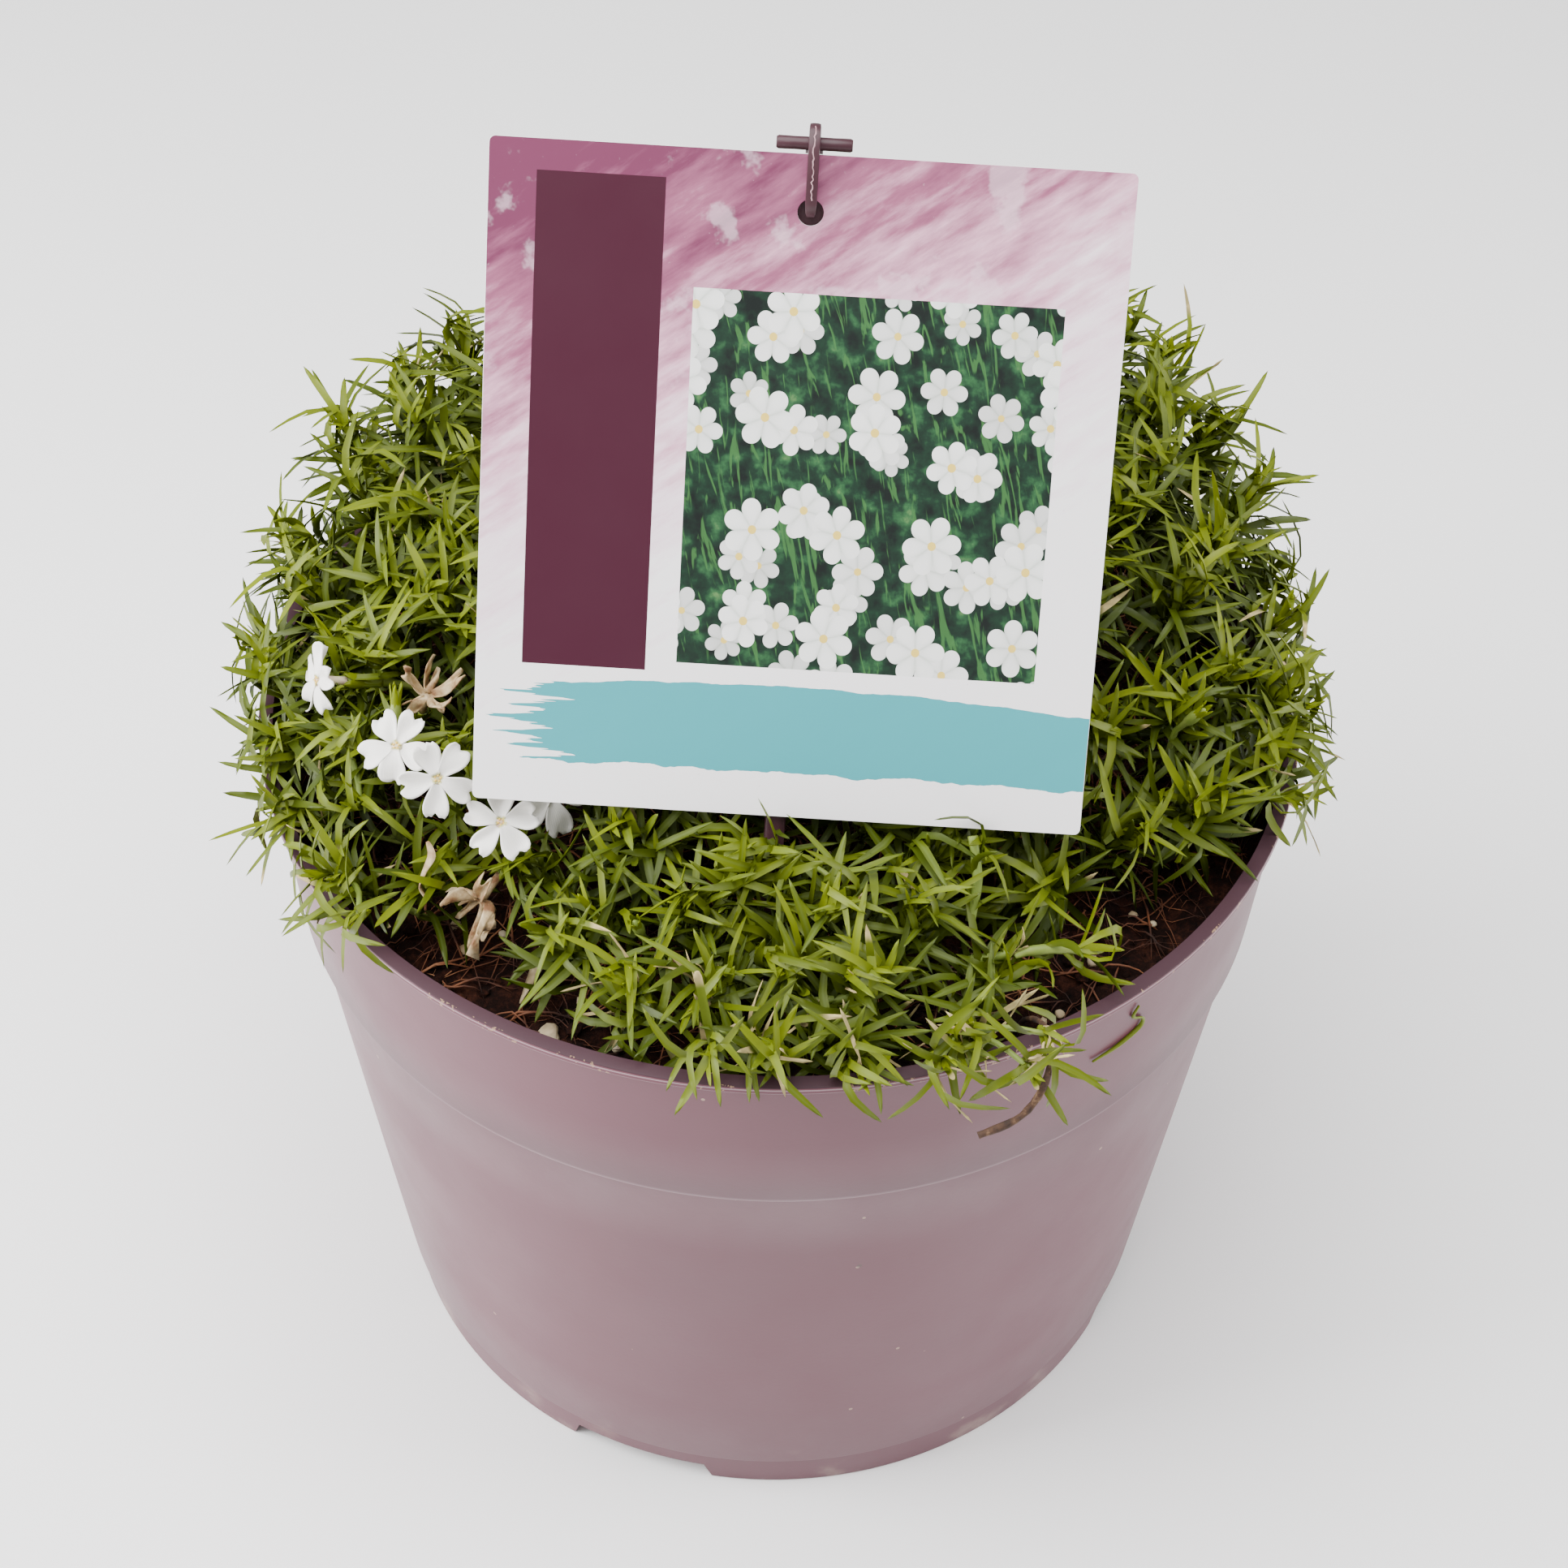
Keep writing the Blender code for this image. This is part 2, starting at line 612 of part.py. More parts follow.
class PlacedRods:
    """The tapered rods placed so far, to test how near a new one comes to them."""

    def __init__(self):
        self.rows = []
        self.table = np.zeros((0, 9))

    def add(self, start, end, start_radius, end_radius, owner):
        self.rows.append((*start, *end, start_radius, end_radius, owner))

    def settle(self):
        self.table = np.array(self.rows, dtype=float)

    def least_gap(self, start, end, start_radius, end_radius, skip=()):
        if len(self.rows) != len(self.table):
            self.settle()
        if not len(self.table):
            return 1.0
        start, end = np.array(start), np.array(end)
        middle = (start + end) / 2
        reach = np.linalg.norm(end - start) / 2
        centres = (self.table[:, 0:3] + self.table[:, 3:6]) / 2
        halves = np.linalg.norm(self.table[:, 3:6] - self.table[:, 0:3], axis=1) / 2
        near = np.linalg.norm(centres - middle, axis=1) < reach + halves + 4 * MM
        for owner in skip:
            near &= self.table[:, 8] != owner
        rows = self.table[near]
        if not len(rows):
            return 1.0
        along, others = end - start, rows[:, 3:6] - rows[:, 0:3]
        between = start - rows[:, 0:3]
        a = float(along @ along)
        b = others @ along
        c = between @ along
        e = np.maximum((others ** 2).sum(axis=1), 1e-14)
        f = (others * between).sum(axis=1)
        spread = a * e - b * b
        s = np.where(spread > 1e-16, (b * f - c * e) / np.maximum(spread, 1e-16), 0.0)
        s = np.clip(s, 0.0, 1.0)
        t = np.clip((b * s + f) / e, 0.0, 1.0)
        s = np.clip((b * t - c) / a, 0.0, 1.0)
        apart = start + s[:, None] * along - rows[:, 0:3] - t[:, None] * others
        thick = start_radius + (end_radius - start_radius) * s + rows[:, 6] + (rows[:, 7] - rows[:, 6]) * t
        return float((np.linalg.norm(apart, axis=1) - thick).min())


def clear_of_card(points, margin):
    place = label_place().inverted()
    for point in points:
        local = place @ Vector(point)
        if (abs(local.x) < LABEL_WIDTH / 2 + margin and abs(local.y) < LABEL_HEIGHT / 2 + margin
                and abs(local.z) < margin):
            return False
    return True


def clear_of_pot(points, margin):
    """Whether points keep off the pot's lip and wall, and above the soil."""
    for point in points:
        radius = math.hypot(point[0], point[1])
        inside = radius < inner_radius(SOIL_EDGE) - margin
        outside = radius > RIM_RADIUS + margin
        if point[2] < POT_HEIGHT + margin and not inside and not outside:
            return False
        if inside and point[2] < soil_height(point[0], point[1]) + margin + 0.6 * MM:
            return False
    return True


def between(start, end, count):
    start, end = Vector(start), Vector(end)
    return [start + (end - start) * (i / (count - 1)) for i in range(count)]


def rod_has_room(placed, start, end, start_radius, end_radius, skip=()):
    margin = max(start_radius, end_radius) + 0.4 * MM
    samples = between(start, end, 6)
    if not clear_of_card(samples, margin) or not clear_of_pot(samples, margin):
        return False
    return placed.least_gap(start, end, start_radius, end_radius, skip) > LEAF_CLEARANCE


# Plan of the plant: stems, shoots and leaves as lines

class Leaf:
    """A needle leaf: its whorl and face on the shoot, its root and its tip."""

    def __init__(self, level, face, root, tip):
        self.level = level
        self.face = face
        self.root = root
        self.tip = tip


class Shoot:
    """A shoot: its line from its root to its tip, the turn of its faces, and its leaves."""

    def __init__(self, number, line, side_hint, leads):
        self.number = number
        self.line = line
        tip = line[-1]
        self.most_whorls = OUTER_WHORLS if math.hypot(tip.x, tip.y) > OUTER_FROM else INNER_WHORLS
        self.side_hint = side_hint
        self.bare = BARE_LEADER if leads else BARE_FOOT
        self.root_share = 1.0 if leads else ROOT_SHARE
        self.leaves = []

    def ring_distances(self):
        """Distances below the tip of the rings that bound the whorls, wider apart further down."""
        length = sum((high - low).length for low, high in zip(self.line, self.line[1:]))
        distances = [BUD_LENGTH]
        pitch = WHORL_PITCH
        while distances[-1] + pitch < length - self.bare and len(distances) <= self.most_whorls:
            distances.append(distances[-1] + pitch)
            pitch = min(pitch * PITCH_GROWTH, WIDEST_PITCH)
        return distances

    def ring_line(self):
        """The points of the shoot's rings, from its root up, and its tip: bare rings, then the whorls."""
        distances = self.ring_distances()
        rings = [point_below_tip(self.line, distance) for distance in reversed(distances)]
        bare, run = [], 0.0
        for upper, lower in zip(reversed(self.line), list(reversed(self.line))[1:]):
            run += (upper - lower).length
            if run > distances[-1] + BARE_RING_GAP:
                bare.insert(0, lower)
        if not bare:
            bare = [self.line[0]]
        return bare + rings + [self.line[-1]]


class Stem:
    """A leafy stem: the line from its foot in the soil to its fork, its shoots, and its flower stalks.

    The first shoot is the leader, which runs on down to the foot. The others fork off it.
    """

    def __init__(self, number, line):
        self.number = number
        self.line = line
        self.shoots = []
        self.flower_lines = []
        self.forked = []


def point_below_tip(line, distance):
    """The point of a line that lies a distance back from its end."""
    left = distance
    for upper, lower in zip(reversed(line), list(reversed(line))[1:]):
        step = (upper - lower).length
        if left <= step:
            return upper + (lower - upper) * (left / step)
        left -= step
    return line[0].copy()


def plan_stem(number, group):
    """The main stem of a group of tips: it leaves the soil under them and ends at their hub."""
    x = sum(t.x for t in group) / len(group)
    y = sum(t.y for t in group) / len(group)
    top = sum(t.z for t in group) / len(group)
    radius = math.hypot(x, y)
    hub_radius = min(radius * 0.95, FARTHEST_HUB)
    foot_radius = min(radius * 0.90, FARTHEST_FOOT)
    share = hub_radius / max(radius, 1e-6)
    hub = Vector((x * share, y * share, 0.0))
    ground = soil_height(hub.x, hub.y)
    hub.z = ground + max(HUB_SHARE * (top - ground), LOWEST_HUB)
    share = foot_radius / max(radius, 1e-6)
    foot = Vector((x * share, y * share, 0.0))
    foot.z = soil_height(foot.x, foot.y) - HOLE_DEPTH + 1.0 * MM
    collar = foot + Vector((0.0, 0.0, HOLE_DEPTH + COLLAR_RISE))
    return Stem(number, [foot, collar, hub])


def fork_point(stem, order):
    """Where a side shoot leaves the stem: each one a little below the one before."""
    return point_below_tip(stem.line, min(order * FORK_PITCH, 0.4 * (stem.line[-1] - stem.line[0]).length))


def plan_shoot(stem, number, tip, placed, draw):
    """A line from the stem to the tip, bent another way while it runs into other rods."""
    order = len(stem.shoots)
    root = fork_point(stem, order)
    distance = (tip - root).length
    outward = tip_way(tip)
    flat = Vector((tip.x - root.x, tip.y - root.y, 0.0))
    start_way = Vector((0.0, 0.0, 1.0)) if order == 0 else (flat.normalized() + Vector((0, 0, 0.6))).normalized()
    for attempt in range(24):
        loose = 0.12 + 0.03 * attempt
        wander = Vector((draw.uniform(-1, 1), draw.uniform(-1, 1), draw.uniform(-0.5, 1))) * loose * distance
        end_way = outward + Vector((draw.uniform(-1, 1), draw.uniform(-1, 1), draw.uniform(-1, 1))) * 0.35
        shift = Vector((draw.uniform(-1, 1), draw.uniform(-1, 1), draw.uniform(-1, 1))) * 0.25 * MM * attempt
        end = tip + shift
        first = root + start_way * 0.30 * distance + wander * 0.4
        second = end - end_way.normalized() * 0.42 * distance
        line = curve_points((root, first, second, end), 6)
        if shoot_line_has_room(stem, line, placed):
            break
    else:
        return None
    for low, high in zip(line, line[1:]):
        placed.add(low, high, SHOOT_RADIUS, SHOOT_RADIUS, number)
    if order == 0:
        line = stem.line[:-1] + line
    hint = Vector((draw.uniform(-1, 1), draw.uniform(-1, 1), 0.2)).normalized()
    return Shoot(number, line, hint, order == 0)


def shoot_line_has_room(stem, line, placed):
    stem_rod = -1000 - stem.number
    for index, (low, high) in enumerate(zip(line, line[1:])):
        skip = stem.forked + [stem_rod] if index < 2 else [stem_rod]
        if not rod_has_room(placed, low, high, SHOOT_RADIUS, SHOOT_RADIUS, skip):
            return False
    return True


def plan_leaf(shoot, level, face, distances, placed, draw, own_stem):
    """A leaf on one face of the shoot, turned and shortened until it clears everything near it."""
    upper = point_below_tip(shoot.line, distances[level])
    lower = point_below_tip(shoot.line, distances[level + 1])
    tangent = (upper - lower).normalized()
    side = (shoot.side_hint - tangent * shoot.side_hint.dot(tangent)).normalized()
    normal = tangent.cross(side)
    face_angle = math.tau * (face + 0.5) / SHOOT_SIDES
    face_out = side * math.cos(face_angle) + normal * math.sin(face_angle)
    root = (upper + lower) / 2 + face_out * SHOOT_RADIUS * math.cos(math.pi / SHOOT_SIDES)
    spiral = WHORL_SPIRAL if level % 2 else -WHORL_SPIRAL
    least, most = WHORL_LEAN[min(level, len(WHORL_LEAN) - 1)]
    for attempt in range(14):
        length = draw.uniform(LEAF_SHORTEST, LEAF_LONGEST) * (TOP_LEAF_SHARE if level == 0 else 1.0)
        length *= 1.0 - 0.03 * attempt
        angle = face_angle + spiral + draw.uniform(-0.2, 0.2) * (1 + 0.15 * attempt)
        out = side * math.cos(angle) + normal * math.sin(angle)
        lean = math.radians(draw.uniform(least, most))
        tip = root + (tangent * math.cos(lean) + out * math.sin(lean)) * length
        half_root = ROOT_ROOM * math.hypot(LEAF_HALF_WIDTH, (upper - lower).length / 2 * math.sin(lean))
        if leaf_has_room((shoot.number, own_stem), root, tip, half_root, placed):
            return Leaf(level, face, root, tip)
    return None


def leaf_has_room(own, root, tip, half_root, placed):
    """Whether a leaf clears all others from a little off its root on, past the roots of its own whorl."""
    start = root + (tip - root).normalized() * ROOT_RUN
    if math.hypot(tip.x, tip.y) > LEAF_REACH:
        return False
    if not rod_has_room(placed, start, tip, half_root, LEAF_TIP_RADIUS, own):
        return False
    placed.add(start, tip, half_root, LEAF_TIP_RADIUS, -2)
    return True


def flower_frame(spec):
    centre, way, turn = spec
    centre = Vector(centre) * MM
    axis = Vector(way).normalized()
    side = Vector((0.0, 0.0, 1.0)).cross(axis)
    side = (side if side.length > 0.05 else Vector((1.0, 0.0, 0.0))).normalized()
    side = Matrix.Rotation(math.radians(turn), 3, axis) @ side
    return centre, axis, side, axis.cross(side)


def reserve_flowers(placed):
    """Keep the room of every petal, tube and cup."""
    sections = [FRESH_PETAL] * len(FRESH_FLOWERS) + [WITHERED_PETAL] * len(WITHERED_FLOWERS)
    for spec, petal in zip(FRESH_FLOWERS + WITHERED_FLOWERS, sections):
        centre, axis, side, normal = flower_frame(spec)
        half_width = PETAL_LENGTH * max(wide for _, wide, _ in petal) * 0.9
        out, _, lift = petal[-1]
        for k in range(FLOWER_SIDES):
            angle = math.tau * (k + 0.5) / FLOWER_SIDES
            way = side * math.cos(angle) + normal * math.sin(angle)
            end = centre + way * (out * PETAL_LENGTH - 0.7 * MM) + axis * (lift * PETAL_LENGTH)
            placed.add(centre + way * MM, end, 0.9 * MM, half_width, -3)
        placed.add(centre, centre - axis * CALYX_BOTTOM, CALYX_RADIUS + 0.3 * MM, CALYX_RADIUS, -3)


def reserve_stake(placed):
    for low, high in zip(stake_shaft_line(), stake_shaft_line()[1:]):
        placed.add(low, high, SHAFT_HALF_WIDTH, SHAFT_HALF_WIDTH, -4)


def reserve_twig(placed):
    line = twig_line()
    for low, high in zip(line, line[1:]):
        placed.add(low, high, TWIG_RADIUS, TWIG_RADIUS, -5)


def plan_flower_stalk(stems, spec, number, placed, draw):
    """A thin stalk from the nearest stem's head to the back of the flower's calyx."""
    centre, axis, _, _ = flower_frame(spec)
    end = centre - axis * (CALYX_BOTTOM - 0.5 * MM)
    ranked = sorted(stems, key=lambda s: (s.line[-1] - end).length)
    for stem in ranked[:5]:
        hub = stem.line[-1]
        distance = (end - hub).length
        for attempt in range(40):
            loose = 0.05 * attempt * distance
            wander = Vector((draw.uniform(-1, 1), draw.uniform(-1, 1), draw.uniform(-1, 1))) * loose
            first = hub + Vector((0, 0, 0.3 * distance)) + wander
            second = end - axis * 0.3 * distance + wander * 0.5
            line = curve_points((hub, first, second, end), 6)
            if stalk_has_room(stem, line, placed):
                stem.flower_lines.append((line, spec))
                stem.forked.append(number)
                for low, high in zip(line, line[1:]):
                    placed.add(low, high, STALK_RADIUS, STALK_RADIUS, number)
                return True
    return False


def stalk_has_room(stem, line, placed):
    stem_rod = -1000 - stem.number
    pieces = list(zip(line, line[1:]))
    for index, (low, high) in enumerate(pieces):
        skip = stem.forked + [stem_rod] if index < 2 else [stem_rod]
        if index >= len(pieces) - 1:
            skip.append(-3)
        if not rod_has_room(placed, low, high, STALK_RADIUS, STALK_RADIUS, skip):
            return False
    return True


def plan_plant():
    """Every stem with its shoots, leaves and flower stalks, as lines that keep clear of each other."""
    draw = random.Random(SEED)
    placed = PlacedRods()
    reserve_flowers(placed)
    reserve_stake(placed)
    reserve_twig(placed)
    groups = group_tips(scatter_tips(draw))
    stems = [plan_stem(number, group) for number, group in enumerate(groups)]
    for stem in stems:
        for low, high in zip(stem.line, stem.line[1:]):
            placed.add(low, high, SHOOT_RADIUS, SHOOT_RADIUS, -1000 - stem.number)
    for index, spec in enumerate(FRESH_FLOWERS + WITHERED_FLOWERS):
        if not plan_flower_stalk(stems, spec, 5000 + index, placed, draw):
            raise RuntimeError(f"no way for the stalk of flower {index}")
    number = 0
    for stem, group in zip(stems, groups):
        for tip in sorted(group, key=lambda t: math.hypot(t.x - stem.line[-1].x, t.y - stem.line[-1].y)):
            shoot = plan_shoot(stem, number, tip, placed, draw)
            if shoot:
                stem.shoots.append(shoot)
                stem.forked.append(number)
                number += 1
    stems = [stem for stem in stems if stem.shoots]
    plan_leaves(stems, placed, draw)
    return stems


def plan_leaves(stems, placed, draw):
    """Leaves for all shoots, whorl by whorl from the top down, so that the tips fill first."""
    spans = [(stem, shoot, shoot.ring_distances()) for stem in stems for shoot in stem.shoots]
    for level in range(max(len(distances) for _, _, distances in spans) - 1):
        for stem, shoot, distances in spans:
            if level >= len(distances) - 1:
                continue
            own_stem = -1000 - stem.number if shoot is stem.shoots[0] else shoot.number
            for face in range(SHOOT_SIDES):
                leaf = plan_leaf(shoot, level, face, distances, placed, draw, own_stem)
                if leaf:
                    shoot.leaves.append(leaf)


# Plant solids

def shoot_mesh(shoot):
    """One closed body: a faceted shoot with a pointed bud, whose faces grow out into needle leaves."""
    bm = bmesh.new()
    frames = frames_along(shoot.ring_line(), shoot.side_hint)
    sizes = [SHOOT_RADIUS * shoot.root_share] + [SHOOT_RADIUS] * (len(frames) - 2)
    rings = [ring_at(bm, frame, size, size, SHOOT_SIDES) for frame, size in zip(frames, sizes)]
    by_face = {(leaf.level, leaf.face): leaf for leaf in shoot.leaves}
    for index, (lower, upper) in enumerate(zip(rings, rings[1:])):
        level = len(rings) - 2 - index
        for face in range(SHOOT_SIDES):
            after = (face + 1) % SHOOT_SIDES
            corners = (lower[face], lower[after], upper[after], upper[face])
            leaf = by_face.get((level, face))
            if leaf:
                close_with_point(bm, corners, leaf.tip)
            else:
                bm.faces.new(corners)
    close_with_point(bm, rings[-1], shoot.line[-1])
    bm.faces.new(rings[0])
    return new_object(f"shoot_{shoot.number}", bm)


def close_with_point(bm, corners, point):
    """Close an open loop with triangles that meet at a point."""
    apex = bm.verts.new(point)
    for index, corner in enumerate(corners):
        bm.faces.new((corner, corners[(index + 1) % len(corners)], apex))


def stalk_mesh(name, stalk, spec):
    """A flower's green stalk, which widens to a cup with a socket, in which the flower's tube stands."""
    centre, axis, side, _ = flower_frame(spec)
    bm = bmesh.new()
    cup = ((CALYX_BOTTOM, 0.6 * CALYX_RADIUS), (CALYX_BOTTOM - 2 * MM, 0.95 * CALYX_RADIUS),
           (CALYX_TOP, CALYX_RADIUS), (CALYX_TOP, TUBE_RADIUS + 1.5 * TOUCH_GAP),
           (TUBE_LENGTH + TOUCH_GAP, TUBE_RADIUS + 1.5 * TOUCH_GAP))
    sizes = [ROOT_SHARE * STALK_RADIUS] + [STALK_RADIUS] * (len(stalk) - 2)
    rings = [ring_at(bm, frame, size, size, FLOWER_SIDES)
             for frame, size in zip(frames_along(stalk, side), sizes)]
    socket = (centre, axis, side, axis.cross(side))
    for back, radius in cup:
        rings.append(ring_at(bm, (centre - axis * back, *socket[1:]), radius, radius, FLOWER_SIDES))
    for lower, upper in zip(rings, rings[1:]):
        join_rings(bm, lower, upper)
    bm.faces.new(rings[0])
    bm.faces.new(rings[-1])
    return new_object(name, bm)


def build_stem(stem, material):
    """The leader with its side shoots, leaves, flower stalks and calyces joined in one body."""
    base = shoot_mesh(stem.shoots[0])
    base.name = f"leafy_stem_{stem.number + 1:02d}"
    base.data.materials.append(material)
    parts = [shoot_mesh(shoot) for shoot in stem.shoots[1:]]
    for index, (stalk, spec) in enumerate(stem.flower_lines):
        parts.append(stalk_mesh(f"stalk_{stem.number}_{index}", stalk, spec))
    if parts:
        apply_boolean(base, parts, "UNION", ("MANIFOLD", "EXACT"))
    return base


# Flowers

def grow_petal(bm, corners, frame, angle, sections):
    """Close one face of the throat with a petal: wider cross-sections outwards, and a notched end."""
    centre, axis, side, normal = frame
    way = side * math.cos(angle) + normal * math.sin(angle)
    cross = axis.cross(way)
    low_a, low_b, high_b, high_a = corners
    if (high_b.co - high_a.co).dot(cross) < 0.0:
        cross = -cross
    last = (low_a, low_b, high_b, high_a)
    half = PETAL_THICKNESS / 2
    for out, wide, lift in sections[:-1]:
        base = centre + way * (out * PETAL_LENGTH) + axis * (lift * PETAL_LENGTH)
        edge = cross * (wide * PETAL_LENGTH)
        section = tuple(bm.verts.new(base + offset) for offset in
                        (-edge - axis * half, edge - axis * half, edge + axis * half, -edge + axis * half))
        join_rings(bm, last, section)
        last = section
    out, _, lift = sections[-1]
    notch = centre + way * (out * PETAL_LENGTH) + axis * (lift * PETAL_LENGTH)
    under, over = bm.verts.new(notch - axis * half), bm.verts.new(notch + axis * half)
    low_a, low_b, high_b, high_a = last
    bm.faces.new((low_a, low_b, under))
    bm.faces.new((high_b, high_a, over))
    bm.faces.new((low_b, high_b, over, under))
    bm.faces.new((high_a, low_a, under, over))


def build_flower(name, spec, sections, material):
    """A tube that stands in its cup and opens into a throat, whose faces grow out into five petals."""
    centre, axis, side, normal = flower_frame(spec)
    bm = bmesh.new()
    half = PETAL_THICKNESS / 2
    profile = ((-TUBE_LENGTH, TUBE_RADIUS), (-2.2 * MM, TUBE_RADIUS), (-half, THROAT_RADIUS),
               (half, THROAT_RADIUS))
    rings = [ring_at(bm, (centre + axis * up, axis, side, normal), radius, radius, FLOWER_SIDES)
             for up, radius in profile]
    for lower, upper in zip(rings[:-1], rings[1:-1]):
        join_rings(bm, lower, upper)
    lower, upper = rings[-2:]
    for face in range(FLOWER_SIDES):
        after = (face + 1) % FLOWER_SIDES
        corners = (lower[face], lower[after], upper[after], upper[face])
        angle = math.tau * (face + 0.5) / FLOWER_SIDES
        grow_petal(bm, corners, (centre, axis, side, normal), angle, sections)
    bm.faces.new(rings[0])
    bm.faces.new(rings[-1])
    bmesh.ops.triangulate(bm, faces=bm.faces)
    return new_object(name, bm, material)


def build_flowers():
    white = principled("white_petal", (0.86, 0.86, 0.84), 0.5)
    straw = principled("dry_straw", (0.50, 0.36, 0.20), 0.8)
    for index, spec in enumerate(FRESH_FLOWERS):
        build_flower(f"flower_{index + 1}", spec, FRESH_PETAL, white)
    for index, spec in enumerate(WITHERED_FLOWERS):
        build_flower(f"withered_flower_{index + 1}", spec, WITHERED_PETAL, straw)


# Dead stem and holes in the soil

def twig_line():
    points = [Vector(p) * MM for p in TWIG_LINE]
    line = []
    for index in range(len(points) - 1):
        before = points[max(index - 1, 0)]
        start, end = points[index], points[index + 1]
        after = points[min(index + 2, len(points) - 1)]
        for t in (0.0, 0.5):
            line.append(0.5 * (2 * start + (end - before) * t + (2 * before - 5 * start + 4 * end - after) * t * t
                               + (3 * start - before - 3 * end + after) * t ** 3))
    return line + [points[-1]]


def build_twig():
    line = twig_line()
    sizes = [TWIG_RADIUS * (1.0 - 0.35 * i / (len(line) - 1)) for i in range(len(line))]
    return rod("dead_twig", line, sizes, sizes, 4, Vector((0, 0, 1)), principled("dead_stem", (0.16, 0.08, 0.04), 0.85))


def hole_cutter(name, line, half_side, half_normal, sides, side_hint):
    """A plain hole along a rod's lowest stretch, a little wider and deeper than the rod."""
    way = (line[1] - line[0]).normalized()
    route = [line[0] - way * HOLE_CLEARANCE] + list(line[1:])
    wide = [half_side + HOLE_CLEARANCE] * len(route)
    deep = [half_normal + HOLE_CLEARANCE] * len(route)
    return rod(name, route, wide, deep, sides, side_hint)


def cut_soil(soil, stems):
    cutters = []
    for stem in stems:
        leader = stem.shoots[0]
        cutters.append(hole_cutter(f"stem_hole_{stem.number}", leader.ring_line()[:2], SHOOT_RADIUS,
                                   SHOOT_RADIUS, SHOOT_SIDES, leader.side_hint))
    shaft = stake_shaft_line()
    across = (label_place().to_3x3() @ Vector((1, 0, 0))).normalized()
    way = (shaft[2] - shaft[0]).normalized()
    cutters.append(hole_cutter("stake_hole", [shaft[0], shaft[2] + way * 9 * MM], SHAFT_HALF_WIDTH,
                               SHAFT_HALF_DEPTH, 6, across))
    cutters.append(hole_cutter("twig_hole", twig_line()[:4], TWIG_RADIUS, TWIG_RADIUS, 4, Vector((0, 0, 1))))
    apply_boolean(soil, cutters, "DIFFERENCE", ("MANIFOLD", "EXACT"))


def main():
    clear_scene()
    build_pot()
    soil = build_soil()
    build_label()
    build_stake()
    stems = plan_plant()
    green = principled("phlox_green", (0.12, 0.22, 0.04), 0.5)
    for stem in stems:
        build_stem(stem, green)
    build_flowers()
    build_twig()
    cut_soil(soil, stems)


main()
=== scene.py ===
"""The looks of a creeping phlox in its nursery pot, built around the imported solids."""

import math
import random

import bmesh
import bpy
import numpy as np
from bpy.props import FloatProperty, FloatVectorProperty, IntProperty, PointerProperty
from bpy.types import Operator, Panel, PropertyGroup
from mathutils import Matrix, Vector, kdtree, noise


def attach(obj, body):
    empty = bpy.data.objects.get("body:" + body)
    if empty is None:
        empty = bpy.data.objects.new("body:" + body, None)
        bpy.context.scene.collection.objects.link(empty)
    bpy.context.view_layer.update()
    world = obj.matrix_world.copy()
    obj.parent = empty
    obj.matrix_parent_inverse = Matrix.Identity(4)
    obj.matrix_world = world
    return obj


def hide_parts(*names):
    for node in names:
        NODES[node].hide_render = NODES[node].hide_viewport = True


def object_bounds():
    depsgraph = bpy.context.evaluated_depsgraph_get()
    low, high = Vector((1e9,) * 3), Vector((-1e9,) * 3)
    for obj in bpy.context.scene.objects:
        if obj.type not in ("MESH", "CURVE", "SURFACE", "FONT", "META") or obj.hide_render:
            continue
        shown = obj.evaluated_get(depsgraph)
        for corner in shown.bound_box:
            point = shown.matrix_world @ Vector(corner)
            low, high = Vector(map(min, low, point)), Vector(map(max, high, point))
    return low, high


bl_info = {
    "name": "Potted creeping phlox",
    "version": (1, 0, 0),
    "blender": (4, 5, 0),
    "location": "View3D > Sidebar > Phlox",
    "description": "Gives a potted creeping phlox its foliage, flowers, soil, label and finishes",
    "category": "Object",
}

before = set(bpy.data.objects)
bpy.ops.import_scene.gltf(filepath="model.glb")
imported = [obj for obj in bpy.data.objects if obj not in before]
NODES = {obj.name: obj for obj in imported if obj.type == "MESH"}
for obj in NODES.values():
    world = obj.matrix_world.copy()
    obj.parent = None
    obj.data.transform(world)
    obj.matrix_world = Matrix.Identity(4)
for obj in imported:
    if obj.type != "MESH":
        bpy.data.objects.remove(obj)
CAD_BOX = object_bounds()

MM = 0.001
UP = Vector((0.0, 0.0, 1.0))
PHOTO_SIZE = 1932

# Pot, as in the solids
RIM_RADIUS = 95.0 * MM
POT_HEIGHT = 144.0 * MM
FOOT_RADIUS = 77.9 * MM
FOOT_INSET = 0.5 * MM
STEP_HEIGHT = 109.4 * MM
STEP_RADIUS = 91.3 * MM
STEP_DEPTH = 1.3 * MM
LIP_WIDTH = 2.7 * MM
LIP_HEIGHT = 1.7 * MM
LIP_OVERHANG = 1.3 * MM
WALL = 1.2 * MM
FOOT_WALL = 2.2 * MM
FOOT_LINE_HEIGHT = 9.0 * MM
FLOOR_BOTTOM = 6.0 * MM
FLOOR_TOP = 7.5 * MM
POT_STEPS = 160
NOTCH_COUNT = 4
NOTCH_FIRST = math.radians(-109.0)
NOTCH_WIDTH = 31.0 * MM
NOTCH_HEIGHT = 4.6 * MM
NOTCH_TAPER = 0.86
DRAIN_RADIUS = 5.0 * MM
DRAIN_CIRCLE = 45.0 * MM

# Soil, as in the solids
SOIL_EDGE = 131.0 * MM
SOIL_MOUND = 6.0 * MM
SOIL_LUMP = 0.9 * MM

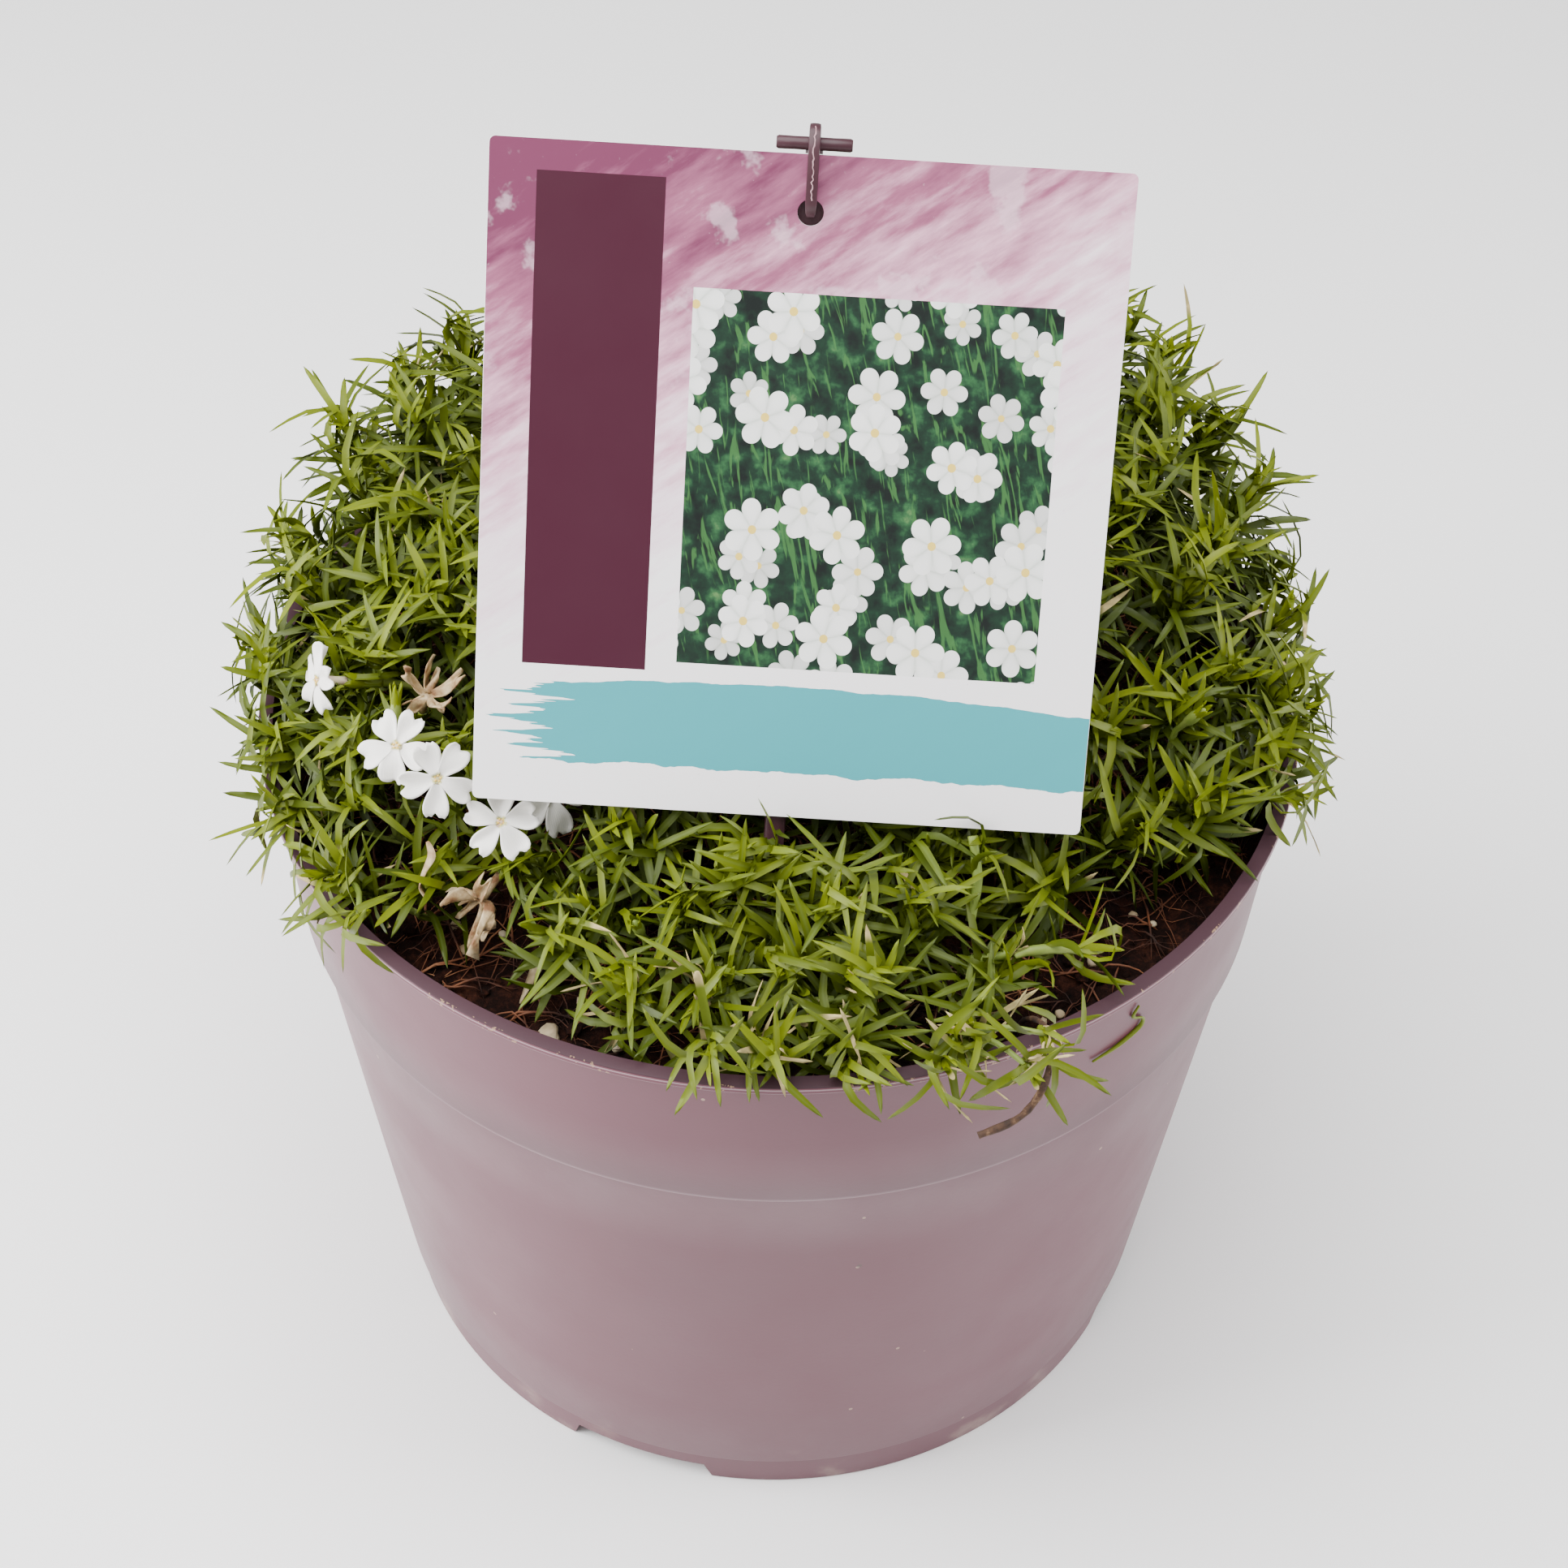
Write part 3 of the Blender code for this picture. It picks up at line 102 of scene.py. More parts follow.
# Label, as in the solids
LABEL_WIDTH = 100.0 * MM
LABEL_HEIGHT = 107.0 * MM
LABEL_THICKNESS = 0.6 * MM
LABEL_CORNER = 1.0 * MM
LABEL_EASE = 0.06 * MM
LABEL_CENTRE = Vector((1.8, -32.2, 215.2)) * MM
LABEL_LEAN = math.radians(27.4)
LABEL_SLANT = math.radians(-1.5)
LABEL_TURN = math.radians(-1.6)
LABEL_HOLE_RADIUS = 2.05 * MM
LABEL_HOLE_UP = 44.6 * MM

# Stake, as in the solids
SHAFT_BACK = 2.3 * MM
SHAFT_HALF_WIDTH = 1.7 * MM
SHAFT_HALF_DEPTH = 1.0 * MM
BAR_FRONT = 1.75 * MM
BAR_RADIUS = 0.9 * MM
HOOK_HALF_DEPTH = 0.81 * MM
FLASH_STEP = 0.45 * MM
HOOK_TOP = 57.3 * MM
CROSSBAR_UP = 54.9 * MM
CROSSBAR_HALF = 5.9 * MM
CROSSBAR_RADIUS = 1.05 * MM
STAKE_SOIL_POINT = Vector((-2.4, -68.0, 132.0)) * MM
STAKE_DEPTH = 20.0 * MM

# Flowers, as in the solids: face centre in millimetres, the way the face looks, and a turn about it
FRESH_FLOWERS = (
    ((-79.6, -25.0, 167.0), (-0.86, -0.38, 0.36), 10.0),
    ((-64.2, -41.5, 167.5), (-0.22, -0.55, 0.80), 30.0),
    ((-56.1, -52.0, 170.4), (0.10, -0.82, 0.56), 5.0),
    ((-45.8, -54.8, 163.2), (0.05, -0.66, 0.75), 50.0),
    ((-38.5, -45.0, 159.5), (0.30, -0.50, 0.81), 20.0),
)
WITHERED_FLOWERS = (
    ((-60.5, -27.5, 166.0), (0.25, -0.35, 0.90), 15.0),
    ((-49.5, -60.0, 150.0), (-0.55, -0.75, -0.35), 40.0),
)
PETAL_COUNT = 5
PETAL_LENGTH = 6.7 * MM
PETAL_THICKNESS = 0.22 * MM
TUBE_RADIUS = 0.8 * MM
TUBE_LENGTH = 9.0 * MM
ANTHER_RADIUS = 0.24 * MM
SEPAL_HALF = 0.95 * MM
CALYX_RADIUS = 1.6 * MM
CALYX_TOP = 5.0 * MM
CALYX_BOTTOM = 12.5 * MM

# Dead stem over the rim, as in the solids
TWIG_LINE = ((40.0, -71.0, 126.0), (41.5, -77.0, 141.0), (44.0, -86.0, 149.5), (44.0, -94.5, 148.0),
             (40.0, -99.2, 143.5), (33.0, -101.5, 141.0))
TWIG_RADIUS = 0.7 * MM


# Adjustable sizes and colours

def colour_setting(name, description, default):
    return FloatVectorProperty(name=name, description=description, default=default, subtype="COLOR", size=3,
                               min=0.0, max=1.0)


def share_setting(name, description, default):
    return number_setting(name, description, default, subtype="FACTOR", min=0.0, max=1.0)


def number_setting(name, description, default, **kind):
    return FloatProperty(name=name, description=description, default=default, **kind)


def count_setting(name, description, default):
    return IntProperty(name=name, description=description, default=default, min=0)


class PotLook(PropertyGroup):
    wall_colour: colour_setting("Wall", "Colour of the pot's outside", (0.106, 0.030, 0.045))
    # Lip: painted shade laid on the pot's lip, its inside and the band above the step
    lip_shade_colour: colour_setting("Lip", "Colour of the pot's lip and inside", (0.036, 0.010, 0.017))
    roughness: share_setting("Roughness", "Roughness of the moulded plastic", 0.38)


class SoilLook(PropertyGroup):
    grain: number_setting("Grain", "Height of the soil's crumbs", 1.7 * MM, unit="LENGTH")
    fibre_count: count_setting("Fibres", "Coir fibres that lie on the soil", 2200)
    perlite_count: count_setting("Light grains", "Cream grains on the soil", 80)
    clod_count: count_setting("Clods", "Loose clods of peat", 1100)


class FoliageLook(PropertyGroup):
    half_width: number_setting("Leaf half width", "Half the width of a full-grown leaf", 0.71 * MM,
                               unit="LENGTH")
    young_colour: colour_setting("Young leaf", "Colour of the leaves at a shoot's tip", (0.158, 0.195, 0.002))
    grown_colour: colour_setting("Grown leaf", "Colour of the full-grown leaves", (0.053, 0.074, 0.003))
    old_colour: colour_setting("Old leaf", "Colour of the leaves deep in the mat", (0.034, 0.048, 0.003))
    straw_colour: colour_setting("Dry leaf", "Colour of dried leaf ends", (0.50, 0.40, 0.18))
    side_rosettes: share_setting("Side rosettes", "Share of the leaves that bear a side rosette", 0.36)
    extra_leaves: share_setting("Extra leaves", "Share of the leaves that have two more beside them", 0.5)


class LabelLook(PropertyGroup):
    plum: colour_setting("Plum", "Dark strip", (0.044, 0.003, 0.015))
    teal: colour_setting("Teal", "Ribbon along the foot", (0.045, 0.320, 0.360))


class StageLook(PropertyGroup):
    camera_place: FloatVectorProperty(name="Camera", description="Place of the camera", subtype="TRANSLATION",
                                      size=3, default=(0.0, -0.39485, 0.50899), unit="LENGTH")
    pitch: number_setting("Pitch", "How far the camera looks down", math.radians(44.64), subtype="ANGLE")
    yaw: number_setting("Yaw", "How far the camera looks to the right", math.radians(0.17), subtype="ANGLE")
    roll: number_setting("Roll", "Turn of the camera about its own axis", math.radians(1.11), subtype="ANGLE")
    focal_pixels: number_setting("Focal length", "Focal length in the photograph's pixels", 3600.0)
    key_power: number_setting("Key light", "Power of the large light overhead", 18.0)
    fill: number_setting("Fill", "Strength of the pale surroundings", 0.50)
    floor_colour: colour_setting("Floor", "Colour of the floor", (0.95, 0.945, 0.945))


# Materials

def shader_operator(operation, reflected=False):
    """A Python operator between fields and numbers that adds a Math node."""
    def operate(self, other):
        return self.paint.maths(operation, *((other, self) if reflected else (self, other)))
    return operate


class Field:
    """A number that varies over a surface. Python operators on it add Math nodes."""
    __add__ = __radd__ = shader_operator("ADD")
    __sub__ = shader_operator("SUBTRACT")
    __rsub__ = shader_operator("SUBTRACT", reflected=True)
    __mul__ = __rmul__ = shader_operator("MULTIPLY")
    __truediv__ = shader_operator("DIVIDE")
    __pow__ = shader_operator("POWER")
    __lt__ = shader_operator("LESS_THAN")
    __gt__ = shader_operator("GREATER_THAN")

    def __init__(self, paint, socket):
        self.paint = paint
        self.socket = socket

    def math(self, operation, *others):
        return self.paint.maths(operation, self, *others)

    def smooth(self, low, high):
        """0 below low, 1 above high, and a smooth step between."""
        node = self.paint.node("ShaderNodeMapRange", {"interpolation_type": "SMOOTHSTEP"},
                               {"Value": self, "From Min": low, "From Max": high})
        return Field(self.paint, node.outputs["Result"])


class Paint:
    """One procedural material and the nodes that make it."""

    def __init__(self, name, colour, roughness):
        self.material = bpy.data.materials.new(name)
        self.material.use_nodes = True
        self.tree = self.material.node_tree
        self.shader = self.tree.nodes["Principled BSDF"]
        self.material.diffuse_color = (*colour, 1.0)
        self.set("Base Color", colour)
        self.set("Roughness", roughness)

    def node(self, kind, settings=None, inputs=None):
        """A node of a kind, with its settings set first and then the values or links of its sockets."""
        made = self.tree.nodes.new(kind)
        for name, value in (settings or {}).items():
            if name == "stops":
                self.set_stops(made.color_ramp, value)
            else:
                setattr(made, name, value)
        for key, value in (inputs or {}).items():
            self.feed(made.inputs[key], value)
        return made

    def set_stops(self, ramp, stops):
        while len(ramp.elements) < len(stops):
            ramp.elements.new(1.0)
        for element, (place, colour) in zip(ramp.elements, stops):
            element.position = place
            element.color = (*colour, 1.0)

    def feed(self, socket, value):
        if isinstance(value, Field):
            self.tree.links.new(value.socket, socket)
        elif isinstance(value, bpy.types.NodeSocket):
            self.tree.links.new(value, socket)
        elif hasattr(socket.default_value, "__len__") and len(value) != len(socket.default_value):
            socket.default_value = (*value, 1.0)
        else:
            socket.default_value = value

    def set(self, name, value):
        self.feed(self.shader.inputs[name], value)

    def maths(self, operation, *values):
        made = self.node("ShaderNodeMath", {"operation": operation}, dict(enumerate(values)))
        return Field(self, made.outputs[0])

    def place(self):
        """Object coordinates, in metres in the part's frame."""
        return self.node("ShaderNodeTexCoord").outputs["Object"]

    def attribute(self, name):
        return self.node("ShaderNodeAttribute", {"attribute_name": name})

    def parts(self, vector):
        """The X, Y and Z of a vector, or the red, green and blue of a colour."""
        split = self.node("ShaderNodeSeparateXYZ", None, {0: vector})
        return [Field(self, output) for output in split.outputs]

    def vector(self, x, y):
        return self.node("ShaderNodeCombineXYZ", None, {0: x, 1: y}).outputs[0]

    def noise(self, vector, scale, detail=3.0, roughness=0.55, distortion=0.0):
        made = self.node("ShaderNodeTexNoise", None, {"Vector": vector, "Scale": scale, "Detail": detail,
                                                      "Roughness": roughness, "Distortion": distortion})
        return Field(self, made.outputs["Fac"])

    def scatter(self, vector, scale):
        """How far the nearest of some scattered points is."""
        made = self.node("ShaderNodeTexVoronoi", None, {"Vector": vector, "Scale": scale})
        return Field(self, made.outputs["Distance"])

    def mix(self, share, low, high):
        made = self.node("ShaderNodeMix", {"data_type": "RGBA"}, {0: share, 6: low, 7: high})
        return made.outputs[2]

    def layers(self, colour, *layers):
        """A colour with others laid over it in turn, each with its share."""
        for share, over in layers:
            colour = self.mix(share, colour, over)
        return colour

    def ramp(self, share, *stops):
        return self.node("ShaderNodeValToRGB", {"stops": stops}, {0: share}).outputs["Color"]

    def finish(self, colour, relief=None, sockets=None):
        """Feed the shader a colour, a relief (height, strength, depth in mm) and other sockets by name."""
        self.set("Base Color", colour)
        if relief:
            height, strength, depth = relief
            bump = self.node("ShaderNodeBump", None,
                             {"Height": height, "Strength": strength, "Distance": depth * MM})
            self.set("Normal", bump.outputs["Normal"])
        for name, value in (sockets or {}).items():
            self.set(name, value)
        return self.material


def scaled(colour, share):
    return tuple(min(share * part, 1.0) for part in colour)


def pot_plastic(look):
    """Satin mauve plastic with painted shade on the lip, the inside and above the step, painted highlights
    along the step and the lip's edges, and a few specks of dust and dirt.
    """
    paint = Paint("mauve pot plastic", look.wall_colour, look.roughness)
    place = paint.place()
    x, y, z = paint.parts(place)
    radius = (x * x + y * y) ** 0.5
    cloud = paint.noise(place, 14.0).smooth(0.3, 0.7)
    slope = (RIM_RADIUS - LIP_OVERHANG - STEP_RADIUS) / (POT_HEIGHT - STEP_HEIGHT)
    # Painted shade: the inside above the step and the lip's top take the darker shade colour
    inside = radius < (z - STEP_HEIGHT) * slope + (STEP_RADIUS - WALL / 2)
    above = z > STEP_HEIGHT
    top = z > POT_HEIGHT - 0.25 * MM
    dark = (inside * above).math("MAXIMUM", top)
    lit = 1.0 - dark
    off_step = ((z - STEP_HEIGHT) / (1.0 * MM)).math("ABSOLUTE")
    on_lip = (radius > RIM_RADIUS - 0.35 * MM) * (z > POT_HEIGHT - LIP_HEIGHT - 0.4 * MM)
    upper, lower = (((z - height) / (0.16 * MM)).math("ABSOLUTE") < 1.0
                    for height in (POT_HEIGHT - 0.65 * MM, POT_HEIGHT - LIP_HEIGHT + 0.15 * MM))
    low = z.smooth(22.0 * MM, 2.0 * MM)
    colour = paint.layers(
        paint.mix(cloud, scaled(look.wall_colour, 0.93), scaled(look.wall_colour, 1.05)),
        (dark, look.lip_shade_colour),
        # Painted highlight: a pale line along the step
        ((1.0 - off_step.smooth(0.15, 0.75)) * lit * 0.30, (0.46, 0.33, 0.36)),
        # Painted shadow: darker over the 10 mm above the step
        (z.smooth(STEP_HEIGHT + 10.0 * MM, STEP_HEIGHT) * above * lit * 0.30, look.lip_shade_colour),
        # Painted highlights: two pale lines round the lip's outer face
        ((upper + lower) * on_lip * 0.45, (0.46, 0.34, 0.37)),
        ((paint.noise(place, 1100.0, 2.0) > 0.62) * (paint.noise(place, 60.0) > 0.50) * on_lip * 0.5,
         (0.42, 0.27, 0.15)),
        ((paint.scatter(place, 150.0) < 0.060) * (paint.noise(place, 35.0) > 0.56) * 0.45,
         (0.55, 0.40, 0.28)),
        ((paint.scatter(place, 90.0) < 0.05) * (paint.noise(place, 21.0) > 0.60) * 0.7, (0.06, 0.035, 0.03)),
        ((paint.noise(place, 60.0, 5.0) + low * 0.16).smooth(0.66, 0.84) * low * 0.4, (0.40, 0.30, 0.25)))
    smear = paint.noise(place, 40.0, 4.0)
    return paint.finish(colour, (paint.noise(place, 900.0, 2.0), 0.06, 0.2),
                        {"Roughness": look.roughness + (smear - 0.5) * 0.22 + top * 0.25,
                         "Specular IOR Level": 0.36})


def peat():
    """Dark brown peat, reddish where coir shows, with painted shade in the hollows of its relief."""
    paint = Paint("peat soil", (0.03, 0.012, 0.008), 0.95)
    place = paint.place()
    coarse = paint.noise(place, 160.0, 6.0, 0.65)
    tone = coarse * 0.55 + paint.noise(place, 900.0, 5.0, 0.7) * 0.45
    # Painted shade: the tone also makes the relief, so its hollows are the darkest
    colour = paint.ramp(tone, (0.38, (0.003, 0.0015, 0.001)), (0.50, (0.013, 0.004, 0.0025)),
                        (0.60, (0.042, 0.013, 0.007)), (0.72, (0.120, 0.042, 0.020)))
    return paint.finish(colour, (tone, 1.0, 1.2),
                        {"Roughness": 0.85 + coarse * 0.15, "Specular IOR Level": 0.15})


# Mottled materials: preview colour and roughness; scale, detail and roughness of the noise; stops of the
# ramp; and the relief's own noise where it has one, its strength and its depth in millimetres
MOTTLED = {
    "coir fibre": ((0.2, 0.07, 0.03), 0.7, (90.0, 2.0),
                   ((0.34, (0.018, 0.005, 0.002)), (0.48, (0.085, 0.025, 0.010)),
                    (0.60, (0.260, 0.090, 0.034)), (0.72, (0.460, 0.210, 0.095))), ((1200.0, 3.0), 0.4, 0.1)),
    "light grain": ((0.6, 0.5, 0.34), 0.75, (120.0, 3.0),
                    ((0.35, (0.36, 0.24, 0.12)), (0.60, (0.66, 0.55, 0.36))), ((1500.0, 4.0), 0.5, 0.2)),
    "dry blade": ((0.38, 0.29, 0.16), 0.8, (420.0, 3.0),
                  ((0.35, (0.21, 0.15, 0.07)), (0.55, (0.38, 0.29, 0.16)), (0.75, (0.56, 0.46, 0.28))),
                  (None, 0.4, 0.2)),
    "withered petal": ((0.60, 0.44, 0.28), 0.75, (330.0, 4.0),
                       ((0.34, (0.20, 0.09, 0.035)), (0.50, (0.44, 0.31, 0.16)), (0.68, (0.66, 0.54, 0.34))),
                       ((900.0, 4.0), 0.6, 0.3)),
    "anther": ((0.80, 0.52, 0.08), 0.6, (2000.0, 2.0),
               ((0.0, (0.70, 0.42, 0.05)), (1.0, (0.88, 0.64, 0.16))), None),
    "dead stem": ((0.16, 0.08, 0.04), 0.85, (300.0, 4.0, 0.7),
                  ((0.36, (0.016, 0.006, 0.003)), (0.54, (0.060, 0.026, 0.011)), (0.72, (0.24, 0.14, 0.07))),
                  (None, 0.7, 0.3)),
    "mould flash": ((0.30, 0.15, 0.17), 0.5, (900.0, 2.0),
                    ((0.0, (0.20, 0.09, 0.11)), (1.0, (0.42, 0.24, 0.26))), None),
}


def mottled(name):
    """A material of the table above."""
    colour, roughness, tone_noise, stops, relief = MOTTLED[name]
    paint = Paint(name, colour, roughness)
    place = paint.place()
    tone = paint.noise(place, *tone_noise)
    if relief:
        grain, strength, depth = relief
        relief = (paint.noise(place, *grain) if grain else tone, strength, depth)
    return paint.finish(paint.ramp(tone, *stops), relief)


def leaf_green(look):
    """Leaves: yellow-green when young, deeper when grown, paler at the root, straw where dry, and with a
    painted sheen along the channel of some grown leaves.
    """
    paint = Paint("phlox leaf", look.grown_colour, 0.42)
    tone = paint.attribute("tone")
    age, shade, dry = paint.parts(tone.outputs["Color"])
    along = Field(paint, tone.outputs["Alpha"])
    rib = Field(paint, paint.attribute("rib").outputs["Fac"])
    mottle = paint.noise(paint.place(), 260.0)
    bright = (shade - 0.5) * 0.5 + (mottle - 0.5) * 0.35
    dried = (along + dry - 1.0).smooth(-0.04, 0.08) * (dry > 0.01) * (0.75 + mottle * 0.5)
    straw = paint.mix(mottle.smooth(0.40, 0.62), scaled(look.straw_colour, 0.55), look.straw_colour)
    colour = paint.layers(
        look.young_colour,
        (age.smooth(0.02, 0.55), look.grown_colour),
        (age.smooth(0.55, 1.0), look.old_colour),
        ((1.0 - along.smooth(0.0, 0.35)) * (1.0 - age * 0.7) * 0.40, (0.19, 0.23, 0.010)),
        (bright.smooth(0.0, 0.35) * 0.45, (0.105, 0.140, 0.005)),
        ((0.0 - bright).smooth(0.0, 0.35) * 0.50, (0.024, 0.044, 0.004)),
        # Painted sheen: a paler band along the channel of grown leaves
        ((1.0 - rib.smooth(0.0, 0.55)) * (shade > 0.45) * age.smooth(0.05, 0.4) * 0.20, (0.14, 0.20, 0.06)),
        (dried, straw))
    return paint.finish(colour, (mottle, 0.2, 0.3),
                        {"Roughness": 0.36 + mottle * 0.18 + dried * 0.35, "Specular IOR Level": 0.20})


def shoot_bark():
    """Green shoots that turn brown towards the soil."""
    paint = Paint("phlox shoot", (0.24, 0.32, 0.08), 0.6)
    place = paint.place()
    mottle = paint.noise(place, 220.0)
    low = (paint.parts(place)[2] + mottle * 10.0 * MM).smooth(147.0 * MM, 133.0 * MM)
    colour = paint.layers((0.15, 0.21, 0.025), (low, (0.13, 0.08, 0.03)),
                          (mottle.smooth(0.45, 0.7) * 0.5, (0.26, 0.29, 0.07)))
    return paint.finish(colour, (mottle, 0.3, 0.2))


def petal_white():
    """White petals with faint veins, and a small yellow-green eye."""
    paint = Paint("white petal", (0.86, 0.86, 0.84), 0.5)
    out, across, _ = paint.parts(paint.attribute("tone").outputs["Color"])
    veins = (across * 38.0).math("SINE").math("ABSOLUTE") ** 6.0
    blotch = paint.noise(paint.place(), 150.0)
    colour = paint.layers((0.90, 0.87, 0.82), (veins * 0.14 * (1.0 - out * 0.5), (0.66, 0.64, 0.56)),
                          (blotch.smooth(0.5, 0.75) * 0.35, (0.80, 0.74, 0.66)),
                          (1.0 - out.smooth(0.0, 0.10), (0.48, 0.46, 0.14)))
    return paint.finish(colour, (veins, 0.15, 0.15),
                        {"Roughness": 0.5 + veins * 0.1, "Subsurface Weight": 0.2,
                         "Subsurface Radius": (1.0, 1.0, 0.9), "Subsurface Scale": 0.8 * MM})


def tube_cream():
    """The flower's tube, cream with a flush of pink."""
    paint = Paint("flower tube", (0.62, 0.56, 0.34), 0.5)
    flush = paint.noise(paint.place(), 180.0, 2.0).smooth(0.4, 0.6)
    return paint.finish(paint.mix(flush, (0.62, 0.58, 0.34), (0.62, 0.45, 0.36)))


def stake_plastic():
    """Glossy dark plum-brown plastic with flow marks."""
    paint = Paint("stake plastic", (0.042, 0.014, 0.021), 0.34)
    flow = paint.noise(paint.place(), 120.0)
    return paint.finish(paint.mix(flow, (0.034, 0.011, 0.016), (0.060, 0.023, 0.031)), (flow, 0.10, 0.3),
                        {"Roughness": 0.28 + flow * 0.18, "Specular IOR Level": 0.34})


def plain_card():
    """The label's pale edges and back."""
    paint = Paint("label back", (0.80, 0.77, 0.77), 0.45)
    speck = paint.noise(paint.place(), 1400.0, 2.0).smooth(0.62, 0.75) * 0.3
    return paint.finish(paint.mix(speck, (0.80, 0.775, 0.775), (0.62, 0.56, 0.57)))


# The printed side of the label, in shares of its width and height from the lower left corner

STRIP = (0.075, 0.275, 0.22, 0.955)
PICTURE = (0.325, 0.905, 0.235, 0.80)
RIBBON = (0.07, 0.185)

# Layers of the picture's blossoms from the farthest: cell size, turn of the cells in degrees, brightness
BLOSSOMS = ((0.118, 21.0, 0.72), (0.130, 52.0, 0.84), (0.140, 77.0, 0.93), (0.150, 8.0, 1.0))


def window(across, up, limits):
    """1 inside a rectangle of the label."""
    left, right, low, high = limits
    return (across > left) * (across < right) * (up > low) * (up < high)


def blossom_layer(paint, across, up, size, degrees, share):
    """One layer of round six-petalled blossoms in jittered cells: its mask, its eyes and its shading."""
    cosine, sine = math.cos(math.radians(degrees)), math.sin(math.radians(degrees))
    x = (across * cosine - up * sine) / size + degrees
    y = (across * sine + up * cosine) / size + degrees
    cell_x, cell_y = x.math("FLOOR"), y.math("FLOOR")
    draw = paint.node("ShaderNodeTexWhiteNoise", {"noise_dimensions": "2D"},
                      {0: paint.vector(cell_x, cell_y)})
    red, green, blue = paint.parts(draw.outputs["Color"])
    dx = x - cell_x - 0.5 + (red - 0.5) * 0.34
    dy = y - cell_y - 0.5 + (green - 0.5) * 0.34
    distance = (dx * dx + dy * dy) ** 0.5
    turn = dy.math("ARCTAN2", dx) + blue * 6.28
    lobes = (turn * 3.0).math("COSINE").math("ABSOLUTE")
    edge = (0.17 + 0.14 * lobes ** 0.55) * (0.85 + blue * 0.2)
    patch = paint.noise(paint.vector(cell_x * size, cell_y * size), 3.2, 2.0)
    mask = (distance < edge) * (patch + (green - 0.5) * 0.3 > share)
    eye = (distance < 0.045) * mask
    shade = (1.0 - lobes) ** 2.0 * 0.55 + (1.0 - distance.smooth(0.02, 0.2)) * 0.25 + (red - 0.5) * 0.2
    return mask, eye, shade


def label_print(look):
    """A wash of plum and pink, a plain plum strip, a picture of generic blossoms and a teal ribbon."""
    paint = Paint("label print", (0.75, 0.55, 0.65), 0.34)
    uv = paint.node("ShaderNodeUVMap", {"uv_map": "card"}).outputs["UV"]
    across, up, _ = paint.parts(uv)
    slant = paint.vector(across * 1.2 + up * 0.5, up * 5.0 - across * 3.2)
    streak = paint.noise(slant, 4.0, 6.0, 0.62)
    blot = paint.noise(uv, 7.0, 5.0, 0.6)
    height = up + (streak - 0.5) * 0.75 - across * 0.40 + 0.04
    wash = paint.layers(
        paint.ramp(height, (0.22, (0.97, 0.94, 0.95)), (0.42, (0.90, 0.72, 0.81)), (0.58, (0.68, 0.36, 0.48)),
                   (0.74, (0.32, 0.10, 0.18)), (0.90, (0.15, 0.03, 0.075))),
        (blot.smooth(0.56, 0.62) * up.smooth(0.35, 0.9) * 0.35, (0.85, 0.66, 0.75)),
        (paint.noise(uv, 160.0, 2.0).smooth(0.70, 0.76) * 0.25, (0.55, 0.42, 0.46)))

    ground = paint.ramp(paint.noise(uv, 30.0, 4.0), (0.36, (0.002, 0.005, 0.004)),
                        (0.53, (0.005, 0.025, 0.012)), (0.66, (0.025, 0.100, 0.034)),
                        (0.80, (0.140, 0.260, 0.080)))
    blades = paint.noise(paint.vector(across * 60.0 + up * 14.0, up * 9.0), 1.0, 3.0, 0.5, 1.6)
    picture = paint.mix(blades.smooth(0.56, 0.62) * 0.75, ground, (0.045, 0.150, 0.038))
    for size, degrees, dim in BLOSSOMS:
        mask, eye, shade = blossom_layer(paint, across, up, size, degrees, 0.52 - dim * 0.1)
        petal = paint.mix(shade, (0.90 * dim, 0.90 * dim, 0.88 * dim), (0.50 * dim, 0.54 * dim, 0.48 * dim))
        picture = paint.mix(mask, picture, paint.mix(eye * mask, petal, (0.80, 0.58, 0.12)))

    low, high = RIBBON
    ragged = (paint.noise(paint.vector(across * 9.0, 0.0), 1.0, 4.0) - 0.5) * 0.035
    crest = (across * 3.1).math("SINE") * 0.022
    bristles = paint.noise(paint.vector(across * 1.5, up * 70.0), 1.0)
    brushed = ((up + ragged) > low) * ((up + ragged * 0.5 - crest) < high)
    brushed = brushed * (across + (bristles - 0.5) * 0.55 > 0.10)
    teal = paint.mix(streak * 0.2, look.teal, scaled(look.teal, 1.3))
    colour = paint.layers(wash, (window(across, up, PICTURE), picture),
                          (window(across, up, STRIP), look.plum), (brushed, teal))
    return paint.finish(colour, None,
                        {"Roughness": 0.30 + blot * 0.12, "Coat Weight": 0.15, "Coat Roughness": 0.25})


# Mesh helpers

def mesh_from(bm, name="part"):
    """Turn a bmesh into a mesh and free it."""
    mesh = bpy.data.meshes.new(name)
    bm.to_mesh(mesh)
    bm.free()
    return mesh


def add_object(name, data):
    made = bpy.data.objects.new(name, data)
    bpy.context.scene.collection.objects.link(made)
    return made


def modified_mesh(thing):
    """The mesh that an object's modifiers make of it."""
    return bpy.data.meshes.new_from_object(thing.evaluated_get(bpy.context.evaluated_depsgraph_get()))


def finish_piece(name, bm, materials, replaced=(), smooth=True):
    """Turn a bmesh into a piece that rides on the part and takes the materials it is given."""
    for face in bm.faces:
        face.smooth = smooth
    mesh = mesh_from(bm, name)
    for material in materials:
        mesh.materials.append(material)
    piece = add_object(name, mesh)
    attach(piece, "root")
    if replaced:
        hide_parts(*replaced)
    return piece


def sharp_by_angle(piece, degrees):
    """Mark the edges where faces meet at more than an angle as sharp."""
    piece.data.set_sharp_from_angle(angle=math.radians(degrees))


